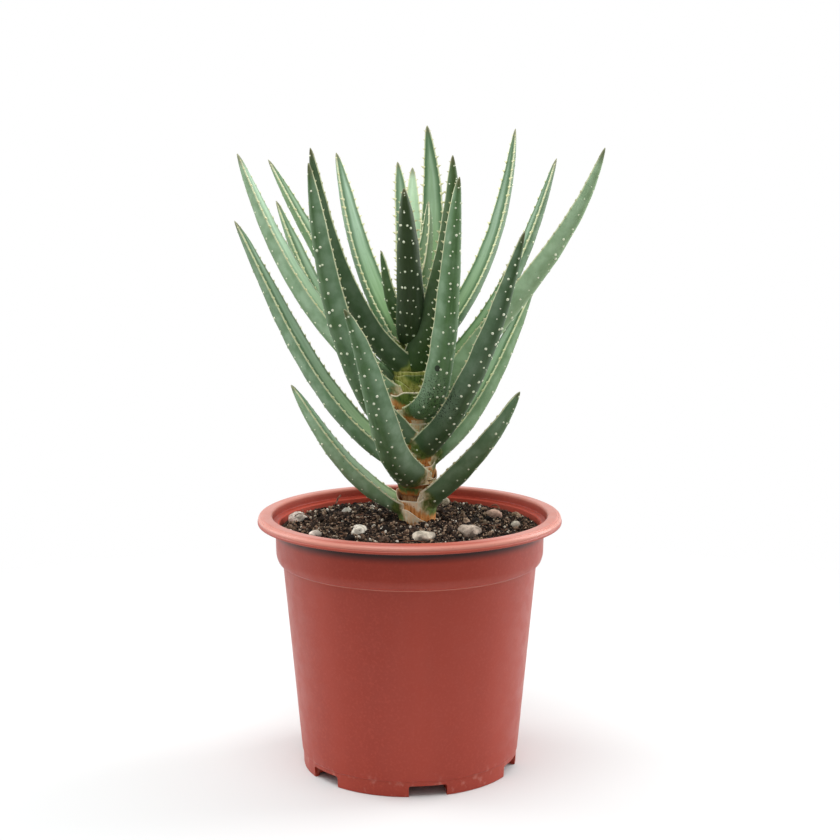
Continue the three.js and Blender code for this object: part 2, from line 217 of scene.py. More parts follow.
def newMaterial(name, fixed):
    material = bpy.data.materials.new(name)
    material.use_nodes = True
    shader = material.node_tree.nodes["Principled BSDF"]
    for key, value in fixed.items():
        shader.inputs[key].default_value = value
    return material, shader, addNode(material.node_tree, "ShaderNodeTexCoord", None, "Object")


def feed(shader, colour, roughness, normal=None):
    give(colour, shader.inputs["Base Color"])
    give(roughness, shader.inputs["Roughness"])
    if normal:
        give(normal, shader.inputs["Normal"])


def newGroup(name, inputs, output, kind="ShaderNodeTree"):  # an input is given by its kind or by its value
    tree = bpy.data.node_groups.new(name, kind)
    for label, value in inputs.items():
        plain = value if isinstance(value, str) else "Vector" if isinstance(value, tuple) else "Float"
        socket = tree.interface.new_socket(name=label, in_out="INPUT", socket_type="NodeSocket" + plain)
        if not isinstance(value, str):
            socket.default_value = value
    tree.interface.new_socket(name=output[0], in_out="OUTPUT", socket_type="NodeSocket" + output[1])
    entry, leave = tree.nodes.new("NodeGroupInput"), tree.nodes.new("NodeGroupOutput")
    return tree, {label: Signal(tree, entry.outputs[label]) for label in inputs}, leave.inputs[0]


def useGroup(group, sockets):
    return addNode(sockets["Vector"].tree, "ShaderNodeGroup", sockets, node_tree=group)


# effects that several materials share

def makeMottleGroup():
    tree, given, leave = newGroup("mottle", {"Vector": "Vector", "Scale": 100.0, "Detail": 3.0, "Low": 0.35,
                                             "High": 0.65}, ("Mask", "Float"))
    cloud = addNode(tree, "ShaderNodeTexNoise", {key: given[key] for key in ("Vector", "Scale", "Detail")})
    give(between(cloud, given["Low"], given["High"]), leave)
    return tree


def makeGrainGroup():
    tree, given, leave = newGroup("surfaceGrain", {
        "Vector": "Vector", "Coarse Scale": 200.0, "Fine Scale": 1500.0, "Coarse Share": 0.5, "Strength": 0.3,
        "Depth": 0.0003}, ("Normal", "Vector"))
    coarse, fine = (addNode(tree, "ShaderNodeTexNoise", {
        "Vector": given["Vector"], "Scale": given[f"{size} Scale"], "Detail": detail})
        for size, detail in (("Coarse", 4.0), ("Fine", 2.0)))
    give(addNode(tree, "ShaderNodeBump", {"Strength": given["Strength"], "Distance": given["Depth"],
                                          "Height": weigh(given["Coarse Share"], fine, coarse)}), leave)
    return tree


def makeSootGroup():  # dark specks round the foot of the front leaf
    tree, given, leave = newGroup("sootSpecks", {"Vector": "Vector", "Centre": (0.0098, -0.022, 0.162),
                                                 "Reach": 0.015}, ("Mask", "Float"))
    near = between(farFrom(given["Vector"], given["Centre"], (1, 0.4, 1)) / given["Reach"], 1.0, 0.4)
    specks = addNode(tree, "ShaderNodeTexNoise", {"Vector": given["Vector"], "Scale": 1500.0, "Detail": 1.0})
    give(between(specks, 0.56, 0.62) * near, leave)
    return tree


mottleGroup = makeMottleGroup()
grainGroup = makeGrainGroup()
sootGroup = makeSootGroup()


def mottle(vector, scale, low=0.35, high=0.65, detail=3.0):
    return useGroup(mottleGroup, {"Vector": vector, "Scale": scale, "Detail": detail,
                                  "Low": low, "High": high})


def grain(vector, coarse, fine, share, strength, depth):
    return useGroup(grainGroup, {"Vector": vector, "Coarse Scale": coarse, "Fine Scale": fine,
                                 "Coarse Share": share, "Strength": strength, "Depth": depth})


# each layer is scale, low, high, detail and colour
def makeMottled(name, specular, ground, layers, rough, bumps=None):
    material, shader, place = newMaterial(name, {"Specular IOR Level": specular})
    base = ground
    for *pattern, colour in layers:
        base = blend(mottle(place, *pattern), base, colour)
    scale, smooth, coarse = rough
    feed(shader, base, between(mottle(place, scale), 0, 1, smooth, coarse),
         grain(place, *bumps) if bumps else None)
    return material


# camera, at the photo's angle

lookout = {"distance": 0.70, "elevation": 8.72, "aim": (0.0044, 0.0, 0.1499), "lens": 70.58}


def placeCamera():
    data = bpy.data.cameras.new("camera")
    data.lens = lookout["lens"]
    data.sensor_width = 36
    data.clip_start = 0.01
    camera = bpy.data.objects.new("camera", data)
    tilt = math.radians(lookout["elevation"])
    back = Vector((0, -math.cos(tilt), math.sin(tilt)))
    camera.location = Vector(lookout["aim"]) + back * lookout["distance"]
    camera.rotation_euler = (math.radians(90) - tilt, 0, 0)
    bpy.context.scene.collection.objects.link(camera)
    bpy.context.scene.camera = camera


# floor and studio light

studio = {"floorRadius": 1.6, "floorFade": (0.12, 0.45), "frontGlow": 0.19, "sideGlow": 0.95, "topGlow": 0.85,
          "panels": (  # place, aim, width, height, power
              ((-0.75, 0.25, 0.45), (0, 0, 0.14), 0.5, 0.9, 3.2),
              ((0.75, 0.30, 0.45), (0, 0, 0.14), 0.5, 0.9, 5.4),
              ((-0.15, -0.35, 1.05), (0, 0, 0.12), 0.7, 0.5, 4.5),
              ((0.10, -0.80, 0.36), (0, 0, 0.14), 0.5, 0.4, 0.5),
          )}


def makeFloor():
    radius = studio["floorRadius"] / mm
    turns = np.linspace(0, 2 * np.pi, 97)[:-1]
    rim = [(radius * math.cos(a), radius * math.sin(a), 0) for a in turns]
    mesh = newMesh("floor", rim, [tuple(range(96))])
    material, shader, place = newMaterial("floorWhite", {"Roughness": 0.75, "Specular IOR Level": 0.15,
                                                         "Base Color": paint(228, 230, 230)})
    near, far = studio["floorFade"]
    give(between(farFrom(place, (0, 0, 0)), near, far, 1.0, 0.0), shader.inputs["Alpha"])
    newPiece("floor", mesh, [material])


def lightRoom():
    world = bpy.data.worlds.new("studio")
    bpy.context.scene.world = world
    world.use_nodes = True
    tree = world.node_tree
    sky = tree.nodes["Background"]
    sky.inputs["Color"].default_value = (1, 1, 1, 1)
    heading = addNode(tree, "ShaderNodeTexCoord", None, "Generated")
    parts = addNode(tree, "ShaderNodeSeparateXYZ", {0: heading})
    level = between(parts["Y"], -0.8, 0.15, studio["frontGlow"], studio["sideGlow"])
    glow = weigh(between(parts["Z"], 0.35, 0.95), level, studio["topGlow"])
    seen = addNode(tree, "ShaderNodeLightPath", None, "Is Camera Ray")
    give(weigh(seen, glow, 1.0), sky.inputs["Strength"])
    for number, (place, aim, width, height, power) in enumerate(studio["panels"], 1):
        data = bpy.data.lights.new(f"panel{number}", "AREA")
        data.shape = "RECTANGLE"
        data.size, data.size_y, data.energy = width, height, power
        panel = bpy.data.objects.new(f"panel{number}", data)
        panel.location = place
        panel.rotation_euler = (Vector(aim) - Vector(place)).to_track_quat("-Z", "Y").to_euler()
        panel.visible_camera = False
        bpy.context.scene.collection.objects.link(panel)
    bpy.context.scene.view_settings.view_transform = "Standard"


placeCamera()
makeFloor()
lightRoom()
print("studio ready")


# the pot

pot = {"height": 110, "rim": 65, "rimInside": 58.8, "lipDepth": 3.6, "wall": 1.6, "collar": 57.2,
       "collarBottom": 89.3, "shoulder": 54.4, "foot": 46.2, "footThickness": 2.4, "skirt": 6.6,
       "floorTop": 8, "sides": 216, "notches": 6, "firstNotch": -80.3, "notchWidth": 16,
       "notchHeight": 4.8, "notchDepth": 10, "holeRadius": 4.5, "holeCircle": 30, "ribLength": 7,
       "ribWidth": 1.4}


def potWall(height):  # the outside of the wall between skirt and collar
    low = pot["foot"] + 0.7
    return low + (pot["shoulder"] - low) * (height - pot["skirt"]) / (pot["collarBottom"] - pot["skirt"])


def rounded(corners, steps=5):  # a line of (radius, height, fillet) with each corner turned into an arc
    points = [np.array(corners[0][:2], float)]
    for before, here, after in zip(corners, corners[1:], corners[2:]):
        a, b, c = (np.array(p[:2], float) for p in (before, here, after))
        into, out = (a - b) / np.linalg.norm(a - b), (c - b) / np.linalg.norm(c - b)
        reach = min(here[2], 0.45 * np.linalg.norm(a - b), 0.45 * np.linalg.norm(c - b))
        if reach < 0.02:
            points.append(b)
            continue
        start, end = b + into * reach, b + out * reach
        for share in np.linspace(0, 1, steps + 1):
            points.append((1 - share) ** 2 * start + 2 * share * (1 - share) * b + share ** 2 * end)
    points.append(np.array(corners[-1][:2], float))
    return points


def potProfile():
    top, rim, inner, collar = pot["height"], pot["rim"], pot["rimInside"], pot["collar"]
    foot, wall, skirt, bend = pot["foot"], pot["wall"], pot["skirt"], pot["collarBottom"]
    lip, ledge, floorTop = top - pot["lipDepth"], top - 3.8, pot["floorTop"]
    return rounded([
        (0, floorTop - wall, 0), (foot - pot["footThickness"] - 0.6, floorTop - wall, 0.6),
        (foot - pot["footThickness"], 0, 0.3), (foot, 0, 0.5), (foot + 0.3, skirt - 0.1, 0.1),
        (potWall(skirt), skirt + 0.35, 0.2), (potWall(bend), bend, 0.5), (collar - 1.0, bend + 0.6, 0.7),
        (collar, bend + 3.4, 2.0), (collar + 0.3, lip - 1.4, 0.8), (inner + 0.9, lip - 0.4, 0.3),
        (inner + 1.1, top - 1.8, 0.3), (rim - 1.3, top - 1.8, 0.3), (rim - 1.1, lip, 0.25),
        (rim - 0.05, lip, 0.3), (rim, lip + 0.9, 0.3), (rim - 0.3, lip + 1.15, 0.15),
        (rim - 0.25, top - 1.3, 0.5), (rim - 1.0, top - 0.5, 0.35), (rim - 1.45, top - 0.62, 0.2),
        (rim - 1.9, top - 0.08, 0.4), (inner + 0.5, top - 0.05, 0.6),
        (inner - 0.2, top - 0.9, 0.7), (inner - 0.3, ledge, 0.3), (collar - wall + 0.2, ledge - 0.4, 0.5),
        (collar - wall - 0.1, bend + 3, 1.5), (pot["shoulder"] - wall, bend - 1, 1.5),
        (potWall(floorTop) - wall, floorTop, 1.0), (0, floorTop, 0),
    ])


def turnProfile(profile, sides):  # a closed body whose profile starts and ends on the axis
    turns = np.linspace(0, 2 * np.pi, sides + 1)[:-1]
    rings = profile[1:-1]
    points = [(r * math.cos(a), r * math.sin(a), z) for r, z in rings for a in turns]
    faces = gridFaces(len(rings), sides, closedAcross=True)
    points += [(0, 0, profile[0][1]), (0, 0, profile[-1][1])]
    low, high, last = len(points) - 2, len(points) - 1, (len(rings) - 1) * sides
    for j in range(sides):
        k = (j + 1) % sides
        faces.append((low, k, j))
        faces.append((high, last + j, last + k))
    return points, faces


def boxAt(size, centre, angle):
    body = bmesh.new()
    bmesh.ops.create_cube(body, size=1.0)
    bmesh.ops.scale(body, vec=Vector(size) * mm, verts=body.verts)
    bmesh.ops.translate(body, vec=Vector(centre) * mm, verts=body.verts)
    bmesh.ops.rotate(body, cent=(0, 0, 0), matrix=Matrix.Rotation(angle, 3, "Z"), verts=body.verts)
    return body


def joinBodies(name, bodies):
    mesh = bpy.data.meshes.new(name)
    whole = bmesh.new()
    for body in bodies:
        body.to_mesh(mesh)
        whole.from_mesh(mesh)
        body.free()
    whole.to_mesh(mesh)
    whole.free()
    return newPiece(name, mesh)


def cutOrJoin(piece, tool, operation):
    step = piece.modifiers.new(operation, "BOOLEAN")
    step.operation, step.object, step.solver = operation, tool, "EXACT"
    plainMesh(piece, step)
    bpy.data.objects.remove(tool)


# how strong each mark of wear and of painted light is, and how wide the painted highlight line on the
# collar's ridge is
potWearAndPaintedLight = {"scuffs": 0.45, "seam": 0.55, "seamWidth": 0.4, "rubbed": 0.8, "redInside": 0.5, "dust": 0.45}


def makePotPlastic():
    material, shader, place = newMaterial("potPlastic", {"IOR": 1.49, "Specular IOR Level": 0.45})
    parts = addNode(place.tree, "ShaderNodeSeparateXYZ", {0: place})
    height, reach = parts["Z"] / mm, farFrom(place, (0, 0, 0), (1, 1, 0)) / mm
    base = blend(mottle(drawnOut(place, 0.18), 45, 0.3, 0.7, 2), paint(158, 50, 29), paint(167, 55, 33))
    base = blend(mottle(place, 900, 0.45, 0.75, 2), base, paint(169, 59, 38))
    scuffs = mottle(place, 260, 0.56, 0.72, 5) * between(height, 12, 1)
    base = blend(scuffs * potWearAndPaintedLight["scuffs"], base, paint(214, 150, 134))
    # a painted highlight line along the ridge at the foot of the collar
    seam = maths("ABSOLUTE", height - pot["collarBottom"]) / potWearAndPaintedLight["seamWidth"]
    base = blend(maths("SUBTRACT", 1.0, seam, True) * potWearAndPaintedLight["seam"], base, paint(216, 148, 130))
    # painted sheen makes the rim paler, less so on top in front
    rubbed = (between(reach, 58.4, 59.2) * between(height, 106.2, 106.8)
              * between(height, 107.3, 108.4, 0.12, 1.0))
    front = between(parts["Y"] / mm, -45, -60, 0.7, 0.3)
    rubbed = rubbed * weigh(between(height, 109.1, 109.8), 1.0, front)
    base = blend(rubbed * potWearAndPaintedLight["rubbed"], base, paint(226, 152, 134))
    # painted shade in the corner under the lip, on the outside only
    underLipShade = between(reach, 64.5, 61.5) * between(reach, 56.6, 57) * between(height, 100, 104.4)
    underLipShade = underLipShade * maths("MAXIMUM", between(height, 105.8, 105.4), between(reach, 58.6, 59.2))
    base = blend(underLipShade * between(height, 106.8, 106.3), base, paint(46, 10, 6))
    # the inside is redder, with peat dust on it above the soil
    inner = between(reach, 56.6, 56.1)
    collarInside = inner * between(height, 90, 95)
    within = maths("MAXIMUM", collarInside, between(reach, 59.1, 58.8) * between(height, 106.2, 106.6))
    base = blend(collarInside * potWearAndPaintedLight["redInside"], base, paint(206, 78, 54))
    dust = (inner * between(height, 97.5, 98.5) * between(height, 105.5, 102)
            * mottle(place, 420, 0.38, 0.62, 6))
    base = blend(dust * potWearAndPaintedLight["dust"], base, paint(64, 38, 28))
    rough = between(mottle(place, 150, 0.3, 0.7, 4), 0, 1, 0.38, 0.46) - rubbed * 0.12 + within * 0.3
    feed(shader, base, rough, grain(place, 120, 2600, 0.55, 0.12, 0.0004))
    return material


def makePot():
    piece = newPiece("nurseryPot", newMesh("nurseryPot", *turnProfile(potProfile(), pot["sides"])))
    notches, holes, ribs = [], [], []
    for i in range(pot["notches"]):
        angle = math.radians(pot["firstNotch"] + 360 / pot["notches"] * i)
        notch = boxAt((pot["notchDepth"], pot["notchWidth"], 2 * pot["notchHeight"]),
                      (pot["foot"], 0, 0), angle)
        bmesh.ops.bevel(notch, geom=list(notch.edges), offset=0.9 * mm, segments=3, affect="EDGES",
                        profile=0.5)
        notches.append(notch)
        hole = bmesh.new()
        bmesh.ops.create_cone(hole, cap_ends=True, segments=40, radius1=pot["holeRadius"] * mm,
                              radius2=pot["holeRadius"] * mm, depth=6 * mm)
        centre = (pot["holeCircle"] * math.cos(angle), pot["holeCircle"] * math.sin(angle), pot["floorTop"])
        bmesh.ops.translate(hole, vec=Vector(centre) * mm, verts=hole.verts)
        holes.append(hole)
        for side in (-1, 1):
            rib = boxAt((pot["ribLength"], pot["ribWidth"], pot["floorTop"] - pot["wall"]),
                        (pot["foot"] - pot["notchDepth"] / 2,
                         side * (pot["notchWidth"] + pot["ribWidth"]) / 2, pot["floorTop"] / 2 + 0.2), angle)
            bmesh.ops.bevel(rib, geom=list(rib.edges), offset=0.3 * mm, segments=2, affect="EDGES",
                            profile=0.5)
            ribs.append(rib)
    cutOrJoin(piece, joinBodies("notches", notches), "DIFFERENCE")
    cutOrJoin(piece, joinBodies("holes", holes), "DIFFERENCE")
    cutOrJoin(piece, joinBodies("ribs", ribs), "UNION")
    piece.data.materials.clear()
    piece.data.materials.append(makePotPlastic())
    shadeSmooth(piece.data, 38)
    settle(piece, "pot", "pot")


makePot()
print("pot made")


# the stem

stem = {"foot": 80, "top": 186, "radius": 6.6, "topRadius": 2.6, "taperStart": 150, "lean": -0.032,
        "leanOrigin": 214, "topSleeve": 168}


def stemCentre(height):
    return (np.asarray(height, float) - stem["leanOrigin"]) * stem["lean"]


def stemRadiusAt(height):
    share = (np.asarray(height, float) - stem["taperStart"]) / (stem["top"] - stem["taperStart"])
    share = np.clip(share, 0, 1)
    return stem["radius"] + (stem["topRadius"] - stem["radius"]) * share


def makeStemBark():
    material, shader, place = newMaterial("stemBark", {"Specular IOR Level": 0.3})
    streaks = drawnOut(place, 0.16)
    base = blend(mottle(streaks, 700, 0.35, 0.7, 4), paint(148, 104, 62), paint(196, 152, 104))
    base = blend(mottle(place, 420, 0.55, 0.72, 5), base, paint(96, 62, 36))
    feed(shader, base, between(mottle(place, 300), 0, 1, 0.6, 0.8),
         grain(streaks, 500, 2000, 0.7, 0.5, 0.0006))
    return material


def makeStem():
    heights = np.concatenate([np.linspace(stem["foot"], 118, 60), np.linspace(119, stem["top"], 40)])
    profile = [(0, stem["foot"]), *((float(stemRadiusAt(h)) - 0.03, h) for h in heights),
               (0, stem["top"] + 1)]
    points, faces = turnProfile(profile, 72)
    points = np.array(points)
    for p in points:
        swell = noise.noise(Vector((p[0] * 0.25, p[1] * 0.25, p[2] * 0.9))) * 0.12
        swell += noise.noise(Vector((p[0] * 1.1, p[1] * 1.1, p[2] * 0.15))) * 0.08
        p[:2] *= 1 + (swell - 0.1) / 6
    points[:, 0] += stemCentre(points[:, 2])
    piece = newPiece("woodyStem", newMesh("woodyStem", points, faces), [makeStemBark()])
    shadeSmooth(piece.data)
    settle(piece, "stem", "stem")


makeStem()
print("stem made")


# the leaves

leaf = {"outerDepth": 0.24, "innerDepth": 0.44, "innerSwell": 0.08, "clasp": 0.05, "flarePlace": 0.12,
        "taperPower": 0.6, "belly": 0.7, "rootDepth": 0.6, "curveReach": 0.36, "rowsAlong": 64,
        "outerRows": 20, "innerRows": 12, "toothFrom": 0.07, "toothTo": 0.975, "wartFrom": 0.07,
        "wartTo": 0.965, "wartRows": (-0.66, -0.22, 0.24, 0.68), "footReach": 15, "footWall": 1.7,
        "footDrop": 2.4, "footTurn": 0.5, "footThin": 0.42, "sleeveDrop": 2.2, "sleeveBack": 3.0,
        "sleeveWall": 2.3, "sleeveFill": 0.8, "sleeveSides": 96, "freshFrom": 16,
        "scarPlace": (0.0114, -0.03, 0.1758)}

# sheaths that show in front: leaf, height of the rim, where it is green (degrees from its blade),
# how far it stands out and how much of the orange foot is hidden
sheathRows = {2: (116.3, 0, 0, 0), 6: (131.0, 0, 0, 0), 13: (163.0, 80, 1.5, 2.4), 17: (169.5, 0, 0, 0)}

toothSettings = {"Tooth Spacing": 3.9 * mm, "Tooth Height": 1.9 * mm, "Tooth Base": 0.74 * mm}
wartSettings = {"Wart Spacing": 6.0 * mm, "Wart Size": 0.5 * mm, "Wart Jitter": 0.8 * mm}

# tip, height where it starts, rise at foot and tip, width, bow, shade (1 is plain; the leaf's own tone with
# painted light and shade in it), yellowness
leafRows = [
    ((-51, 8, 164), 108.5, (21, 63), 11.4, 0, 1.25, 0.1),
    ((46, -14, 164), 109.5, (46, 66), 12.9, 1.4, 0.8, 0.25),
    ((-25.5, -46, 201), 122.5, (15, 62), 13.2, 4, 0.93, 0.05),
    ((0, 58, 225), 124.5, (28, 66), 12, 0, 1, 0.1),
    ((-77, 34, 233), 126.5, (24, 63), 12.5, -1, 0.97, 0.05),
    ((53.5, 22, 204), 128.5, (32, 66), 12.5, 0, 1.02, 0.4),
    ((45.5, -44, 231.5), 132.5, (37, 77), 11.4, -3.8, 0.58, 0.1),
    ((-40, -31, 258), 134.5, (39, 87), 12.8, 3, 0.84, 0.1),
    ((16, 54, 227), 138, (34, 74), 12, 0, 1, 0.1),
    ((78.5, -25, 264), 140.5, (65, 75), 13.4, 0, 1.5, 0.15),
    ((20, -38, 252.5), 152, (4, 86), 11.5, -2.4, 1.0, 0.1),
    ((-59.5, 44, 241.5), 154.5, (26, 66), 10.5, 0, 1, 0.4),
    ((-74, 22, 262), 157, (30, 72), 13, -1, 1.3, 0),
    ((1, 60, 256), 159, (38, 64), 12, 0, 1.8, 0),
    ((63.5, 28, 260), 161.5, (30, 74), 9.5, 0, 0.85, 0.1),
    ((-62, 36, 259.5), 163.5, (46, 60), 10, 0, 1.05, 0.5),
    ((17.5, -27, 261), 165.5, (60, 100), 10.8, 0, 0.5, 0.7),
    ((-40, -18, 264), 167.5, (40, 86), 12.2, 0, 0.43, 0.4),
    ((46.5, 44, 273), 173.5, (28, 84), 9.1, -1, 0.8, 0.1),
    ((-32.5, 40, 262.5), 176.5, (34, 75), 11, 0, 1.05, 0),
    ((-5.5, 42, 258.5), 179, (54, 70), 10, -1, 1.1, 0.2),
    ((-2, -30, 248), 180.5, (32, 89), 12, 1.5, 0.24, 0.8),
    ((7.5, 30, 274), 182.5, (53, 86), 11.5, -6, 1.02, 0.55),
    ((-12, -4, 222), 184, (46, 82), 7, 0, 0.55, 0.6),
    ((8, 4, 242), 186, (74, 96), 9, 0, 0.7, 0.95),
]


class LeafLine:  # the curve down the middle of a blade, and the section round it
    def __init__(self, row):
        tip, base, rise, self.width, bow = row[:5]
        end = np.array(tip, float)
        centre = np.array([float(stemCentre(base)), 0, base])
        self.outward = np.array([end[0] - centre[0], end[1], 0])
        self.outward /= np.linalg.norm(self.outward)
        self.across = np.cross([0, 0, 1], self.outward)
        start = centre + self.outward * float(stemRadiusAt(base)) * (1 - leaf["rootDepth"])
        reach = np.linalg.norm(end - start) * leaf["curveReach"]
        heading = [self.outward * math.cos(math.radians(r)) + np.array([0, 0, math.sin(math.radians(r))])
                   for r in rise]
        self.knots = (start, start + heading[0] * reach + self.across * bow,
                      end - heading[1] * reach + self.across * bow, end)

    def middle(self, t):
        a, b, c, d = self.knots
        t = np.asarray(t, float)[..., None]
        return a * (1 - t) ** 3 + 3 * b * t * (1 - t) ** 2 + 3 * c * t ** 2 * (1 - t) + d * t ** 3

    def heading(self, t):
        a, b, c, d = self.knots
        t = np.asarray(t, float)[..., None]
        way = 3 * (b - a) * (1 - t) ** 2 + 6 * (c - b) * t * (1 - t) + 3 * (d - c) * t ** 2
        return way / np.linalg.norm(way, axis=-1, keepdims=True)

    def outer(self, t):
        way = np.cross(self.across, self.heading(t))
        return way / np.linalg.norm(way, axis=-1, keepdims=True)

    def leaves(self):  # how far along the blade comes out of the stem
        t = np.linspace(0, 0.3, 301)
        return float(t[np.argmax(stemGap(self.middle(t)) > -0.6)])

    def aside(self, points):  # places ahead of and beside the stem's axis, seen from the blade
        x, y = points[..., 0] - stemCentre(points[..., 2]), points[..., 1]
        return (x * self.outward[0] + y * self.outward[1], x * self.across[0] + y * self.across[1])


def leafTaper(t):
    t = np.asarray(t, float)
    flare = leaf["clasp"] * np.maximum(0, 1 - t / leaf["flarePlace"])
    return np.maximum(1 - t, 0) ** leaf["taperPower"] * (1 + leaf["belly"] * t) + flare


def sectionRows():  # places round a section from one margin over the outer face and back: (s, lift, isInner)
    rows = []
    for k in range(leaf["outerRows"] + 1):
        turn = math.pi * (1 - math.cos(math.pi * k / leaf["outerRows"])) / 2
        rows.append((-math.cos(turn), math.sin(turn), 0.0))
    for k in range(1, leaf["innerRows"]):
        s = math.cos(math.pi * k / leaf["innerRows"])
        rows.append((s, 1 - s * s, 1.0))
    return np.array(rows)


def depths(line, t):  # how far the margins, outer face and inner face lie out from the middle line
    width = line.width * leafTaper(t)
    thin = width * (1 - leaf["footThin"] * softStep(leaf["footReach"], 1, stemGap(line.middle(t))))
    hollow = leaf["innerDepth"] + leaf["innerSwell"] * (1.6 * t - 0.5)
    return width, -leaf["innerDepth"] * thin, leaf["outerDepth"] * thin, -hollow * thin


def bladeSurface(line, t, rows):  # the points of all sections, as (t, row, xyz)
    width, edge, face, hollow = depths(line, t)
    middle, outer = line.middle(t), line.outer(t)
    s, lift, inner = rows.T
    depth = np.where(inner > 0.5, edge[:, None] + (hollow - edge)[:, None] * lift,
                     edge[:, None] + (face - edge)[:, None] * lift)
    side = (width / 2)[:, None] * s
    return middle[:, None] + side[..., None] * line.across + depth[..., None] * outer[:, None]


def stemGap(points):  # how far points are from the stem's surface
    x, y, height = points[..., 0], points[..., 1], points[..., 2]
    return np.hypot(x - stemCentre(height), y) - stemRadiusAt(height)


def clasped(points, line):  # bends the foot of a blade round the stem
    ahead, beside = line.aside(points)
    radius = stemRadiusAt(points[..., 2])
    reach = np.maximum(ahead, radius + leaf["footWall"])
    share = softStep(radius + leaf["footReach"], radius + 0.8, ahead)
    turn = beside / reach * (1 + leaf["footTurn"] * share)
    ahead = ahead + (reach * np.cos(turn) - ahead) * share
    beside = beside + (reach * np.sin(turn) - beside) * share
    x = ahead * line.outward[0] + beside * line.across[0] + stemCentre(points[..., 2])
    y = ahead * line.outward[1] + beside * line.across[1]
    return np.stack([x, y, points[..., 2]], -1)


def sheathTop(number, turns):  # height of a sheath's rim, at angles from its blade
    row, nextBase = leafRows[number - 1], leafRows[number][1]
    line = LeafLine(row)
    margin = clasped(bladeSurface(line, np.array([line.leaves()]), sectionRows()), line)[0, 0]
    ahead, beside = line.aside(margin)
    back = nextBase - leaf["sleeveBack"]
    front = max(back + 0.8, float(margin[2]) - 0.2)
    edge = math.cos(abs(math.atan2(beside, ahead)))
    top = back + (front - back) * softStep(-1, edge, np.cos(turns)) ** 1.4
    if number in sheathRows:
        toViewer = np.cos(turns + math.atan2(line.outward[1], line.outward[0]) + math.pi / 2)
        shown = softStep(-0.1, 0.55, toViewer) * (1 - softStep(edge, edge + 0.45, np.cos(turns)))
        top = top + (sheathRows[number][0] - top) * shown
    return top


def rimBelow(number, points):  # height of the rim that the leaf's foot comes out of
    if number == 1:
        return np.full(points.shape[:-1], leafRows[0][1] - 5.0)
    rims = []
    for lower in range(max(1, number - 3), number):
        ahead, beside = LeafLine(leafRows[lower - 1]).aside(points)
        rims.append(sheathTop(lower, np.arctan2(beside, ahead)))
    return np.max(rims, 0)


def bladeParts(number):
    row = leafRows[number - 1]
    line, rows = LeafLine(row), sectionRows()
    count, columns = leaf["rowsAlong"], len(rows)
    t = np.linspace(0, 1, count) ** 1.08
    t = 0.5 * t + 0.5 * (1 - np.cos(np.pi * t)) / 2
    first = line.leaves()
    t = first + (0.9985 - first) * t
    points = bladeSurface(line, t, rows)
    centres = line.middle(t)
    flare = np.clip(1 - (stemGap(centres) - 1.5) / 6, 0, 1) ** 2
    points = centres[:, None] + (points - centres[:, None]) * (1 + 0.12 * flare[:, None, None])
    for i in range(count):  # gentle unevenness
        for j in range(columns):
            p = points[i, j]
            way = p - centres[i]
            size = np.linalg.norm(way)
            if size > 0.5:
                wave = noise.noise(Vector((p[0] * 0.12, p[1] * 0.12, p[2] * 0.12 + number * 7.3)))
                points[i, j] = p + way / size * wave * 0.35 * min(1, size / 4)
    points = clasped(points, line)
    # the foot runs down into the sheath
    edge = points[0]
    outerShare = rows[:, 1] * (1 - rows[:, 2])
    ahead, beside = line.aside(edge)
    reach, turn = np.hypot(ahead, beside), np.arctan2(beside, ahead)
    foot = []
    for share in (0, 0.3, 0.55, 0.8):
        height = edge[:, 2] - leaf["footDrop"] * outerShare * (1 - share)
        start = stemRadiusAt(height) + 0.5
        r = start + (reach - start) * share ** 1.6
        foot.append(np.stack([
            stemCentre(height) + r * (np.cos(turn) * line.outward[0] + np.sin(turn) * line.across[0]),
            r * (np.cos(turn) * line.outward[1] + np.sin(turn) * line.across[1]), height], -1))
    points = np.concatenate([np.array(foot), points])
    t = np.concatenate([np.full(len(foot), t[0]), t])
    count = len(t)
    steps = np.linalg.norm(np.diff(np.concatenate([points, points[:, :1]], 1), axis=1), axis=2)
    walked = np.concatenate([np.zeros((count, 1)), np.cumsum(steps, 1)[:, :-1]], 1)
    total, other = steps.sum(1)[:, None], walked[:, leaf["outerRows"]][:, None]
    edgeGap = np.minimum(np.minimum(walked, total - walked), np.abs(walked - other))
    middles = points.mean(1)
    length = np.concatenate([[0], np.cumsum(np.linalg.norm(np.diff(middles, axis=0), axis=1))])
    flat = points.reshape(-1, 3)
    ahead, beside = line.aside(flat)
    fields = {
        "along": np.repeat(t, columns),
        "across": np.tile(rows[:, 0], count),
        "inner": np.tile(rows[:, 2] * np.clip(rows[:, 1] * 4, 0, 1), count),
        "edgeGap": edgeGap.ravel(),
        "root": stemGap(flat),
        "rise": flat[:, 2] - rimBelow(number, flat),
        "side": np.cos(np.arctan2(beside, ahead)),
        "fromBase": np.repeat(length, columns),
        "rimLine": np.zeros(len(flat)),
        "fresh": np.full(len(flat), float(number >= leaf["freshFrom"])),
    }
    faces = gridFaces(count, columns, closedAcross=True)
    faces.append(tuple(reversed(range(columns))))
    faces.append(tuple(range((count - 1) * columns, count * columns)))
    return line, flat, faces, fields


